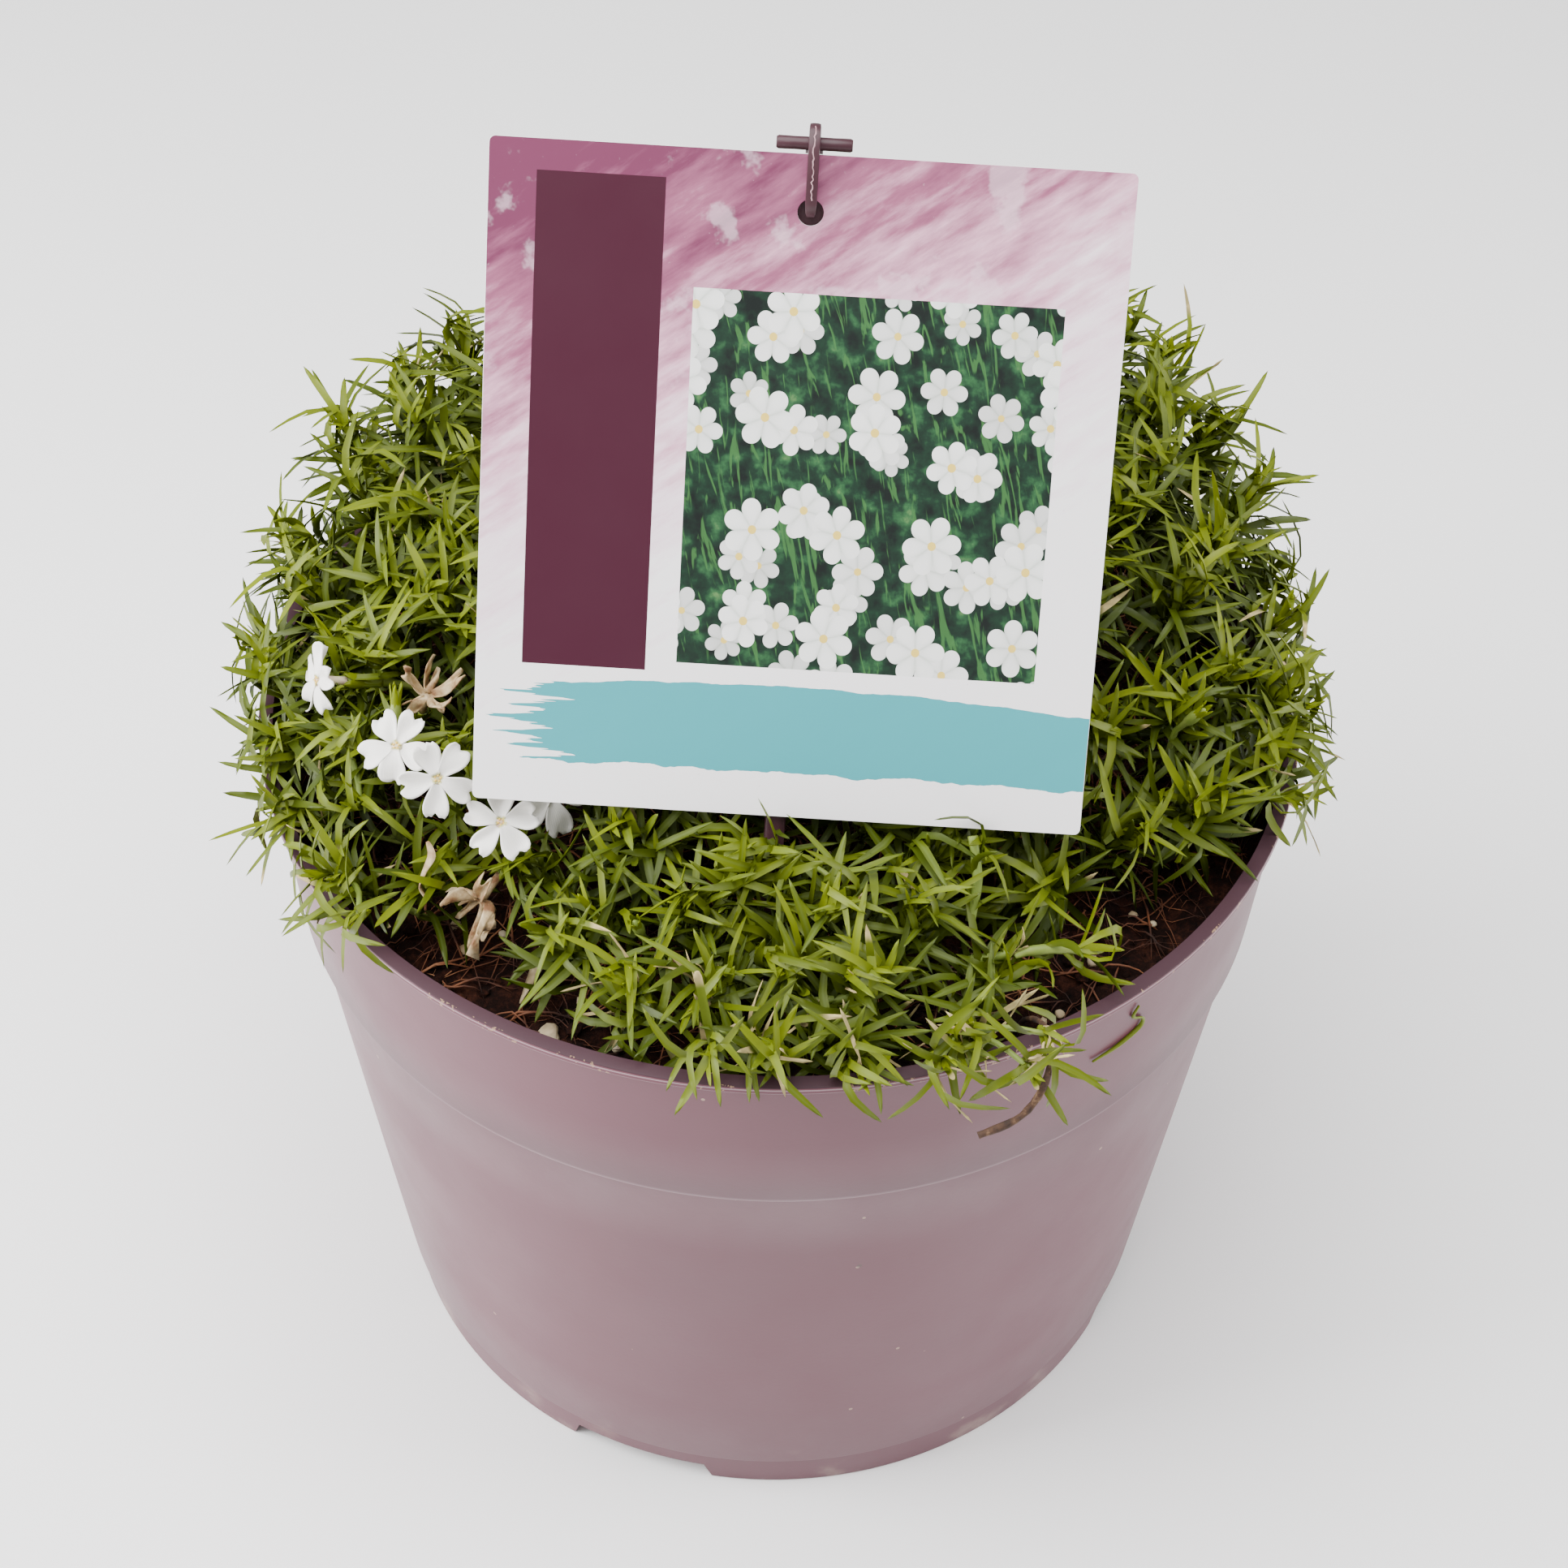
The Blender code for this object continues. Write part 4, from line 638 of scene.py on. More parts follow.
def spline(points, steps):
    """A smooth line through points, with so many steps between each two."""
    points = [Vector(p) for p in points]
    line = []
    for index in range(len(points) - 1):
        start, end = points[index], points[index + 1]
        before, after = points[max(index - 1, 0)], points[min(index + 2, len(points) - 1)]
        square = 2 * before - 5 * start + 4 * end - after
        cube = 3 * start - before - 3 * end + after
        for step in range(steps):
            t = step / steps
            line.append(0.5 * (2 * start + (end - before) * t + square * t * t + cube * t ** 3))
    return line + [points[-1]]


def grow_ring(bm, ring, edges):
    """Extrude a closed ring of edges. Returns the new vertices in the old ring's order, and the new edges."""
    grown = bmesh.ops.extrude_edge_only(bm, edges=edges)["geom"]
    fresh = {g for g in grown if isinstance(g, bmesh.types.BMVert)}
    pairs = {vert: edge.other_vert(vert) for vert in ring for edge in vert.link_edges
             if edge.other_vert(vert) in fresh}
    new_edges = [g for g in grown if isinstance(g, bmesh.types.BMEdge) and all(v in fresh for v in g.verts)]
    return [pairs[vert] for vert in ring], new_edges


def append_mesh(bm, mesh):
    """Add a mesh to a bmesh. Returns the new vertices and the new faces."""
    verts_before, faces_before = len(bm.verts), len(bm.faces)
    bm.from_mesh(mesh)
    bm.verts.ensure_lookup_table()
    bm.faces.ensure_lookup_table()
    return ([bm.verts[index] for index in range(verts_before, len(bm.verts))],
            [bm.faces[index] for index in range(faces_before, len(bm.faces))])


def join_mesh(bm, part):
    """Add a small bmesh to a larger one and free it. Returns the new vertices."""
    mesh = mesh_from(part)
    verts, _ = append_mesh(bm, mesh)
    bpy.data.meshes.remove(mesh)
    return verts


def add_rod(bm, line, half_sides, half_normals, sides, side_hint, material_index=0, squareness=2.0):
    """Sweep an oval ring along a line, extruded from point to point. Returns the vertices ring by ring."""
    points = [Vector(p) for p in line]
    rod = bmesh.new()
    ring = bmesh.ops.create_circle(rod, segments=sides, radius=1.0, cap_ends=True)["verts"]
    unit = [vert.co / (abs(vert.co.x) ** squareness + abs(vert.co.y) ** squareness) ** (1.0 / squareness)
            for vert in ring]
    edges = list(ring[0].link_faces[0].edges)
    all_verts = []
    for index, point in enumerate(points):
        before, after = points[max(index - 1, 0)], points[min(index + 1, len(points) - 1)]
        along = (after - before).normalized()
        side = (side_hint - along * side_hint.dot(along)).normalized()
        normal = along.cross(side)
        if index:
            ring, edges = grow_ring(rod, ring, edges)
        for vert, place in zip(ring, unit):
            vert.co = point + side * (place.x * half_sides[index]) + normal * (place.y * half_normals[index])
        all_verts += ring
    bmesh.ops.contextual_create(rod, geom=edges)
    outward(rod)
    for face in rod.faces:
        face.material_index = material_index
    rod.verts.index_update()
    order = [vert.index for vert in all_verts]
    joined = join_mesh(bm, rod)
    return [joined[index] for index in order]


def outward(bm):
    bmesh.ops.recalc_face_normals(bm, faces=bm.faces)


# Places on the pot and the soil

def wall_radius(height):
    """Radius of the pot's outside at a height below the lip."""
    if height >= STEP_HEIGHT:
        share = (height - STEP_HEIGHT) / (POT_HEIGHT - STEP_HEIGHT)
        return STEP_RADIUS + (RIM_RADIUS - LIP_OVERHANG - STEP_RADIUS) * share
    return FOOT_RADIUS + (STEP_RADIUS - STEP_DEPTH - FOOT_RADIUS) * height / STEP_HEIGHT


def soil_height(x, y):
    """Height of the soil's top, as in the solids."""
    share = min(math.hypot(x, y) / RIM_RADIUS, 1.0)
    lump = math.sin(x * 150.0 + 1.3) * math.sin(y * 130.0 + 0.4)
    return SOIL_EDGE + SOIL_MOUND * (1.0 - share * share) + SOIL_LUMP * lump * (1.0 - share ** 6)


def label_place():
    """The label's place: its middle plane is XY, its front looks along Z and Y runs up it."""
    place = Matrix.Translation(LABEL_CENTRE)
    place = place @ Matrix.Rotation(LABEL_TURN, 4, "Z")
    place = place @ Matrix.Rotation(math.pi / 2 - LABEL_LEAN, 4, "X")
    return place @ Matrix.Rotation(LABEL_SLANT, 4, "Z")


TO_LABEL = label_place().inverted()
BOX_MARGIN = 0.4 * MM
LABEL_MARGIN = 0.8 * MM
WALL_MARGIN = 1.6 * MM
LIP_MARGIN = 0.4 * MM
SOIL_MARGIN = 0.5 * MM
FACE_CLEARANCE = (-1.5 * MM, 9.0 * MM, 7.4 * MM)
TUBE_CLEARANCE = 1.5 * MM


def cuts_label(start, end):
    """Whether a straight stretch passes through the label or close by it."""
    a, b = TO_LABEL @ start, TO_LABEL @ end
    if min(a.z, b.z) > LABEL_MARGIN or max(a.z, b.z) < -LABEL_MARGIN:
        return False
    places = [a.lerp(b, share) for share in (0.0, 0.25, 0.5, 0.75, 1.0)]
    wide, high = LABEL_WIDTH / 2 + LABEL_MARGIN, LABEL_HEIGHT / 2 + LABEL_MARGIN
    return any(abs(place.x) < wide and abs(place.y) < high for place in places)


def inside_pot_wall(point):
    """Whether a point lies in the pot's wall or lip, or under the soil."""
    radius = math.hypot(point.x, point.y)
    if point.z > POT_HEIGHT + LIP_MARGIN or radius > RIM_RADIUS + LIP_MARGIN:
        return False
    if radius > wall_radius(min(point.z, POT_HEIGHT)) - WALL - WALL_MARGIN:
        return True
    return point.z < soil_height(point.x, point.y) + SOIL_MARGIN


def hides_flower(point):
    """Whether a point stands in a flower, in its tube or just before its face."""
    back, front, reach = FACE_CLEARANCE
    for centre, way, _ in FRESH_FLOWERS + WITHERED_FLOWERS:
        axis = Vector(way).normalized()
        offset = point - Vector(centre) * MM
        lift = offset.dot(axis)
        off_axis = (offset - axis * lift).length
        in_face = back < lift < front and off_axis < reach
        in_tube = -TUBE_LENGTH < lift < 0.0 and off_axis < TUBE_CLEARANCE
        if in_face or in_tube:
            return True
    return False


def in_box(point):
    """Whether a point lies inside the part's box, with room for a leaf's edge."""
    low, high = CAD_BOX
    return all(low[i] + BOX_MARGIN < point[i] < high[i] - BOX_MARGIN for i in range(3))


def has_room(start, end):
    """Whether a leaf or a side shoot can stand there."""
    if not in_box(end) or cuts_label(start, end):
        return False
    samples = [start.lerp(end, share) for share in (0.2, 0.4, 0.6, 0.8, 1.0)]
    return not any(inside_pot_wall(point) or hides_flower(point) for point in samples)


def bends_clear(root, middle, tip):
    """Whether a bowed leaf keeps inside the part's box and off the label and the flowers."""
    if not in_box(middle):
        return False
    return not (cuts_label(root, middle) or cuts_label(middle, tip) or hides_flower(middle))


# Pot

def turned(profile, steps):
    """A solid turned from a profile of radii and heights that starts and ends on the axis."""
    bm = bmesh.new()
    line = [bm.verts.new((radius, 0.0, height)) for radius, height in profile]
    edges = [bm.edges.new(pair) for pair in zip(line, line[1:])]
    bmesh.ops.spin(bm, geom=line + edges, cent=(0, 0, 0), axis=(0, 0, 1), dvec=(0, 0, 0), angle=math.tau,
                   steps=steps, use_merge=True)
    bmesh.ops.remove_doubles(bm, verts=bm.verts, dist=0.00001)
    return bm


def pot_profile():
    """The pot's section from the axis under its floor, up the outside, over the lip and down the inside."""
    lip_bottom = POT_HEIGHT - LIP_HEIGHT
    ease, edge = 0.4 * MM, 0.3 * MM
    ring = FOOT_RADIUS - FOOT_INSET
    line_radius = wall_radius(FOOT_LINE_HEIGHT)
    heights = [FOOT_LINE_HEIGHT + (STEP_HEIGHT - FOOT_LINE_HEIGHT) * share for share in (0.2, 0.4, 0.6, 0.8)]
    under_step, inner_step = STEP_HEIGHT - 1.0 * MM, STEP_HEIGHT - WALL
    band = (STEP_HEIGHT + lip_bottom) / 2
    return [
        (0.0, FLOOR_BOTTOM),
        (ring - FOOT_WALL + 0.6 * MM, FLOOR_BOTTOM),
        (ring - FOOT_WALL, edge),
        (ring - FOOT_WALL + edge, 0.0),
        (ring - edge, 0.0),
        (ring, edge),
        (line_radius - FOOT_INSET, FOOT_LINE_HEIGHT - 0.2 * MM),
        (line_radius - 0.15 * MM, FOOT_LINE_HEIGHT),
        (line_radius, FOOT_LINE_HEIGHT + ease),
        *((wall_radius(height), height) for height in heights + [under_step]),
        (wall_radius(under_step) + 0.25 * MM, STEP_HEIGHT - 0.6 * MM),
        (STEP_RADIUS - 0.2 * MM, STEP_HEIGHT - 0.25 * MM),
        (STEP_RADIUS, STEP_HEIGHT + 0.2 * MM),
        (wall_radius(band), band),
        (wall_radius(lip_bottom - edge), lip_bottom - edge),
        (wall_radius(lip_bottom) + edge, lip_bottom),
        (RIM_RADIUS - 0.25 * MM, lip_bottom),
        (RIM_RADIUS, lip_bottom + 0.25 * MM),
        (RIM_RADIUS, POT_HEIGHT - ease),
        (RIM_RADIUS - 0.12 * MM, POT_HEIGHT - 0.12 * MM),
        (RIM_RADIUS - ease, POT_HEIGHT),
        (RIM_RADIUS - LIP_WIDTH + 0.1 * MM, POT_HEIGHT),
        (RIM_RADIUS - LIP_WIDTH, POT_HEIGHT - edge),
        (STEP_RADIUS - WALL, STEP_HEIGHT + WALL),
        (wall_radius(inner_step) - WALL, inner_step),
        (wall_radius(FLOOR_TOP) - WALL, FLOOR_TOP),
        (0.0, FLOOR_TOP),
    ]


def cutting_rod(name, radius, depth, segments, centre):
    """A rod along Z that cuts a round hole."""
    bm = bmesh.new()
    bmesh.ops.create_cone(bm, cap_ends=True, segments=segments, radius1=radius, radius2=radius, depth=depth)
    bmesh.ops.translate(bm, vec=centre, verts=bm.verts)
    return add_object(name, mesh_from(bm, name))


def pot_cutters():
    """Blocks for the notches in the foot ring and rods for the drain holes."""
    overlap = 2.0 * MM
    blocks = []
    for index in range(NOTCH_COUNT):
        bm = bmesh.new()
        bmesh.ops.create_cube(bm, size=1.0)
        bmesh.ops.scale(bm, vec=(12.0 * MM, NOTCH_WIDTH, NOTCH_HEIGHT + overlap), verts=bm.verts)
        bmesh.ops.scale(bm, vec=(1.0, NOTCH_TAPER, 1.0), verts=[v for v in bm.verts if v.co.z > 0.0])
        place = Matrix.Rotation(NOTCH_FIRST + index * math.tau / NOTCH_COUNT, 4, "Z")
        place = place @ Matrix.Translation((FOOT_RADIUS - 1.0 * MM, 0.0, (NOTCH_HEIGHT - overlap) / 2))
        bmesh.ops.transform(bm, matrix=place, verts=bm.verts)
        blocks.append(add_object(f"notch_{index}", mesh_from(bm)))
        angle = NOTCH_FIRST + math.pi / 4 + index * math.tau / NOTCH_COUNT
        centre = Vector((DRAIN_CIRCLE * math.cos(angle), DRAIN_CIRCLE * math.sin(angle),
                         (FLOOR_BOTTOM + FLOOR_TOP) / 2))
        blocks.append(cutting_rod(f"drain_{index}", DRAIN_RADIUS, 6.0 * MM, 40, centre))
    return blocks


def cut_with(piece, blocks):
    """Subtract blocks from a piece, apply the cut and remove them."""
    group = bpy.data.collections.new("cutters")
    for block in blocks:
        group.objects.link(block)
    step = piece.modifiers.new("cut", "BOOLEAN")
    step.operand_type = "COLLECTION"
    step.collection = group
    step.operation = "DIFFERENCE"
    step.solver = "EXACT"
    result = modified_mesh(piece)
    piece.modifiers.clear()
    piece.data = result
    for block in blocks:
        bpy.data.objects.remove(block, do_unlink=True)
    bpy.data.collections.remove(group)


class PHLOX_OT_pot(Operator):
    """Turn the smooth pot with its lip, step, foot line, notches and drain holes"""
    bl_idname = "phlox.pot"
    bl_label = "Pot"

    def execute(self, context):
        bm = turned(pot_profile(), POT_STEPS)
        outward(bm)
        pot = finish_piece("moulded_pot", bm, [pot_plastic(context.scene.phlox_pot)], ("pot",))
        cut_with(pot, pot_cutters())
        pot.data.shade_smooth()
        sharp_by_angle(pot, 28.0)
        return {"FINISHED"}


# Soil

SOIL_RINGS = 90
SOIL_STEPS = 320
SOIL_GAP = 0.6 * MM
SOIL_SINK = 0.3 * MM


def crumbly_height(x, y, grain):
    """The soil's top with its crumbs, kept a little under the height in the solids on the whole."""
    rough = noise.fractal(Vector((x, y, 0.0)) * 150.0, 0.6, 2.1, 5)
    pits = noise.noise(Vector((x, y, 7.0)) * 480.0)
    return soil_height(x, y) + grain * (rough * 0.8 + pits * 0.5) - SOIL_SINK


def soil_bed(grain):
    """A disc of crumbly soil, with walls down the pot's inside and a floor."""
    edge = wall_radius(SOIL_EDGE) - WALL - SOIL_GAP
    top = [(edge * index / SOIL_RINGS, SOIL_EDGE) for index in range(SOIL_RINGS + 1)]
    walls = [(STEP_RADIUS - WALL - SOIL_GAP, STEP_HEIGHT + WALL + 0.3 * MM),
             (wall_radius(STEP_HEIGHT - WALL) - WALL - SOIL_GAP, STEP_HEIGHT - WALL),
             (wall_radius(FLOOR_TOP) - WALL - SOIL_GAP, FLOOR_TOP + 0.3 * MM),
             (0.0, FLOOR_TOP + 0.3 * MM)]
    bm = turned(top + walls, SOIL_STEPS)
    for vert in bm.verts:
        if abs(vert.co.z - SOIL_EDGE) < 1e-6:
            vert.co.z = crumbly_height(vert.co.x, vert.co.y, grain)
    outward(bm)
    return bm


def on_soil(draw):
    """A random point of the soil's top."""
    angle = draw.uniform(0.0, math.tau)
    radius = (wall_radius(SOIL_EDGE) - WALL - 3.0 * MM) * math.sqrt(draw.uniform(0.02, 1.0))
    return radius * math.cos(angle), radius * math.sin(angle)


def fibre_mat(count, grain, draw):
    """Thin bent fibres that lie on the soil and dip into it at both ends."""
    bm = bmesh.new()
    limit = wall_radius(SOIL_EDGE) - WALL - 1.5 * MM
    made = 0
    while made < count:
        x, y = on_soil(draw)
        heading, length = draw.uniform(0.0, math.tau), draw.uniform(4.0, 17.0) * MM
        straight = draw.random() < 0.8
        bend = draw.uniform(-0.15, 0.15) if straight else draw.uniform(-1.2, 1.2)
        lift = draw.uniform(0.3, 2.6) * MM
        radius = (0.07 + 0.20 * draw.random() ** 2) * MM
        line = []
        for share in (0.0, 0.2, 0.4, 0.6, 0.8, 1.0):
            turn = heading + bend * share
            px = x + length * (share - 0.5) * math.cos(turn)
            py = y + length * (share - 0.5) * math.sin(turn)
            rise = radius * 0.5 + lift * math.sin(math.pi * share) - 0.15 * MM
            line.append(Vector((px, py, crumbly_height(px, py, grain) + rise)))
        if max(math.hypot(p.x, p.y) for p in line) > limit:
            continue
        sizes = [radius * size for size in (0.5, 1.0, 1.0, 0.9, 0.7, 0.35)]
        add_rod(bm, line, sizes, sizes, 4, UP)
        made += 1
    outward(bm)
    return bm


def scatter_lumps(count, grain, sizes, squash, draw):
    """Small uneven lumps bedded in the soil's top."""
    bm = bmesh.new()
    for _ in range(count):
        x, y = on_soil(draw)
        size = draw.uniform(*sizes)
        ball = bmesh.new()
        bmesh.ops.create_icosphere(ball, subdivisions=1, radius=size)
        lump = join_mesh(bm, ball)
        for vert in lump:
            vert.co *= 1.0 + 0.45 * (draw.random() - 0.5)
            vert.co.z *= squash
        place = Matrix.Translation((x, y, crumbly_height(x, y, grain) + size * squash * 0.3))
        place = place @ Matrix.Rotation(draw.uniform(0.0, math.tau), 4, "Z")
        place = place @ Matrix.Rotation(draw.uniform(-0.5, 0.5), 4, "X")
        bmesh.ops.transform(bm, matrix=place, verts=lump)
    outward(bm)
    return bm


class PHLOX_OT_soil(Operator):
    """Lay the crumbly peat with its clods, coir fibres and light grains"""
    bl_idname = "phlox.soil"
    bl_label = "Soil"

    def execute(self, context):
        look = context.scene.phlox_soil
        draw = random.Random(5)
        peat_material = peat()
        finish_piece("peat_bed", soil_bed(look.grain), [peat_material], ("soil",))
        clods = scatter_lumps(look.clod_count, look.grain, (0.5 * MM, 1.7 * MM), 0.7, draw)
        finish_piece("peat_clods", clods, [peat_material], smooth=False)
        fibres = fibre_mat(look.fibre_count, look.grain, draw)
        finish_piece("coir_fibres", fibres, [mottled("coir fibre")])
        grains = scatter_lumps(look.perlite_count, look.grain, (0.5 * MM, 1.35 * MM), 0.8, draw)
        finish_piece("light_grains", grains, [mottled("light grain")])
        return {"FINISHED"}


# Label

class PHLOX_OT_label(Operator):
    """Cut the label card with its rounded corners and round hole, and print its front"""
    bl_idname = "phlox.label"
    bl_label = "Label"

    def execute(self, context):
        bm = bmesh.new()
        bmesh.ops.create_cube(bm, size=1.0)
        bmesh.ops.scale(bm, vec=(LABEL_WIDTH, LABEL_HEIGHT, LABEL_THICKNESS), verts=bm.verts)
        upright = [e for e in bm.edges if abs(e.verts[0].co.z - e.verts[1].co.z) > LABEL_THICKNESS / 2]
        bmesh.ops.bevel(bm, geom=upright, offset=LABEL_CORNER, affect="EDGES", segments=5, profile=0.5,
                        material=-1)
        rims = [e for e in bm.edges
                if abs(e.verts[0].co.z - e.verts[1].co.z) < 1e-7 and len(e.link_faces) == 2]
        bmesh.ops.bevel(bm, geom=rims, offset=LABEL_EASE, affect="EDGES", segments=1, profile=0.5,
                        material=-1)
        outward(bm)
        materials = [plain_card(), label_print(context.scene.phlox_label)]
        card = finish_piece("printed_label", bm, materials, ("label",), smooth=False)
        cut_with(card, [cutting_rod("punch", LABEL_HOLE_RADIUS, 4.0 * MM, 48, (0.0, LABEL_HOLE_UP, 0.0))])
        mesh = card.data
        layer = mesh.uv_layers.new(name="card")
        for polygon in mesh.polygons:
            polygon.material_index = 1 if polygon.normal.z > 0.9 else 0
            for corner in polygon.loop_indices:
                point = mesh.vertices[mesh.loops[corner].vertex_index].co
                layer.data[corner].uv = (point.x / LABEL_WIDTH + 0.5, point.y / LABEL_HEIGHT + 0.5)
        mesh.transform(label_place())
        return {"FINISHED"}


# Stake

def on_label(across, up, out):
    """The point at a place on the label, with so much out from its middle plane."""
    return label_place() @ Vector((across, up, out))


def shaft_line():
    """The shaft from its tip in the soil to the cross-bar."""
    foot, lower, top = (on_label(0.0, up, -SHAFT_BACK)
                        for up in (-LABEL_HEIGHT / 2, -LABEL_HEIGHT / 2 + 14 * MM, CROSSBAR_UP))
    down = (STAKE_SOIL_POINT - foot).normalized()
    tip = STAKE_SOIL_POINT + down * STAKE_DEPTH
    return [tip, tip - down * 4 * MM, STAKE_SOIL_POINT, foot, lower, top]


def hook_line():
    """The hook from behind the cross-bar, over its top and down to the label's hole."""
    back, front = -SHAFT_BACK, BAR_FRONT
    rise = HOOK_TOP - CROSSBAR_UP
    local = [(CROSSBAR_UP - 2 * MM, back), (CROSSBAR_UP + 0.45 * rise, back)]
    middle, reach = (back + front) / 2, (front - back) / 2
    for angle in (140.0, 115.0, 90.0, 65.0, 40.0):
        turn = math.radians(angle)
        local.append((HOOK_TOP - reach + reach * math.sin(turn), middle + reach * math.cos(turn)))
    local += [(CROSSBAR_UP - 1 * MM, front), (LABEL_HOLE_UP + 1.6 * MM, front),
              (LABEL_HOLE_UP + 0.2 * MM, front - 0.5 * MM), (LABEL_HOLE_UP - 0.3 * MM, -0.2 * MM)]
    return [on_label(0.0, up, out) for up, out in local]


def flash_line(front, across, draw):
    """The uneven parting line of the mould along the front of the hook."""
    line = []
    for start, end in zip(front, front[1:]):
        normal = (end - start).cross(across).normalized()
        count = max(2, round((end - start).length / FLASH_STEP))
        for step in range(count):
            wander = across * draw.uniform(-0.16, 0.16) * MM
            line.append(start.lerp(end, step / count) + normal * HOOK_HALF_DEPTH + wander)
    return line


class PHLOX_OT_stake(Operator):
    """Mould the stake: a shaft with a pad behind the label's hole, a cross-bar and a hook with mould flash"""
    bl_idname = "phlox.stake"
    bl_label = "Stake"

    def execute(self, context):
        turn = label_place().to_3x3()
        across, up = (turn @ Vector((1, 0, 0))).normalized(), (turn @ Vector((0, 1, 0))).normalized()
        bm = bmesh.new()
        line = shaft_line()
        pad = [on_label(0.0, LABEL_HOLE_UP + rise * MM, -SHAFT_BACK) for rise in (-7.5, -4.5, 3.2, 4.8)]
        line = line[:-1] + pad + line[-1:]
        widths = [SHAFT_HALF_WIDTH * share for share in (0.3, 1.0, 1.0, 1.0, 1.0, 1.0, 1.5, 1.5, 0.8, 0.8)]
        depths = [SHAFT_HALF_DEPTH * share for share in (0.5, 1.0, 1.0, 1.0, 1.0, 1.0, 0.9, 0.9, 1.0, 1.0)]
        add_rod(bm, line, widths, depths, 16, across, squareness=4.0)
        hook = hook_line()
        sizes = [BAR_RADIUS] * (len(hook) - 2) + [0.85 * BAR_RADIUS, 0.7 * BAR_RADIUS]
        depths = [size * HOOK_HALF_DEPTH / BAR_RADIUS for size in sizes]
        add_rod(bm, hook, sizes, depths, 16, across, squareness=6.0)
        draw = random.Random(17)
        seam = flash_line(hook[5:9], across, draw)
        thin = [draw.uniform(0.08, 0.14) * MM for _ in seam]
        add_rod(bm, seam, thin, thin, 6, across, 1)
        ends = [on_label(share * CROSSBAR_HALF, CROSSBAR_UP, -SHAFT_BACK + 0.7 * MM)
                for share in (-1.0, -0.94, -0.5, 0.0, 0.5, 0.94, 1.0)]
        girth = [CROSSBAR_RADIUS * share for share in (0.82, 1.0, 0.97, 1.0, 0.97, 1.0, 0.82)]
        add_rod(bm, ends, girth, girth, 14, up)
        outward(bm)
        materials = [stake_plastic(), mottled("mould flash")]
        stake = finish_piece("hooked_stake", bm, materials, ("stake",))
        sharp_by_angle(stake, 50.0)
        return {"FINISHED"}


# Leaves

MERGE = 0.01 * MM
SPIKE_COS = math.cos(math.radians(24.0))
LEAF_SECTION = ((1.0, 0.24), (0.0, 0.0), (-1.0, 0.24), (0.0, -0.26))
LEAST_LEAF = 4.4 * MM
LEAST_TIP = 1.5 * MM
FULL_LENGTH = 12 * MM
CHOICES = 4
AGE_REACH = 15.0 * MM
STATIONS = ((0.0, 0.58), (0.14, 0.84), (0.34, 1.0), (0.56, 1.0), (0.77, 0.86), (0.92, 0.52))
DRY_STATIONS = ((0.0, 0.50), (0.12, 0.85), (0.30, 0.45), (0.52, 0.90), (0.74, 0.40), (0.90, 0.55))
LEAF_FORMS = ((3.0, -1.7), (4.2, 2.1), (5.0, -3.0), (6.6, 2.2), (4.6, 0.5), (8.2, -1.2), (-2.0, 1.9),
              (6.0, 4.2), (7.4, -4.2), (2.8, -4.5), (9.0, 2.0), (1.4, 3.2), (5.6, -5.4), (7.0, 0.0))
YOUNG_FORMS = ((0.3, -0.5), (1.0, 0.8), (1.8, 0.2), (-0.8, 0.4), (2.4, -1.0))
DRY_FORMS = ((4.5, -2.0, 2.6), (-3.0, 2.8, -2.2), (3.5, 3.2, 3.4), (1.2, -3.4, 1.8))
CUT_STATIONS = ((0.0, 0.55), (0.22, 0.85), (0.48, 1.0), (0.74, 0.90), (0.93, 0.84), (1.0, 0.50))
TRIMMED_BEARINGS = (-108.0, -58.0)
TRIMMED_FROM = 80.0 * MM
DRY_SECTORS = (((-50.0, 10.0), 82.0 * MM, 0.10), ((-160.0, -120.0), 84.0 * MM, 0.05))
TRIMMED_DRY, USUAL_DRY = 0.22, 0.015
SIDE_SHOOT_GAP = 5.8 * MM
STUB_CHANCE, HEART_CHANCE = 0.22, 0.75
OVERHANG_FROM, OVERHANG_BELOW = 86.0 * MM, POT_HEIGHT + 14.0 * MM

# Rosettes: the range of their leaves' lengths, and of the leaves' lean off the shoot's way in degrees
ROSETTES = {
    "tip_heart": ((5.0 * MM, 10.0 * MM), (4.0, 30.0)),
    "tip_skirt": ((10.0 * MM, 17.0 * MM), (25.0, 75.0)),
    "side_heart": ((5.0 * MM, 9.0 * MM), (8.0, 30.0)),
    "side_skirt": ((10.0 * MM, 15.5 * MM), (30.0, 100.0)),
    "runner_heart": ((5.0 * MM, 9.5 * MM), (6.0, 28.0)),
    "runner_skirt": ((10.0 * MM, 15.0 * MM), (30.0, 100.0)),
    "bare_heart": ((5.0 * MM, 9.0 * MM), (6.0, 28.0)),
    "bare_skirt": ((9.0 * MM, 14.0 * MM), (30.0, 85.0)),
    "bare_pair": ((9.0 * MM, 13.0 * MM), (45.0, 80.0)),
}
ROSETTE_SHARE = 0.92
LEAF_TURN = 2.4


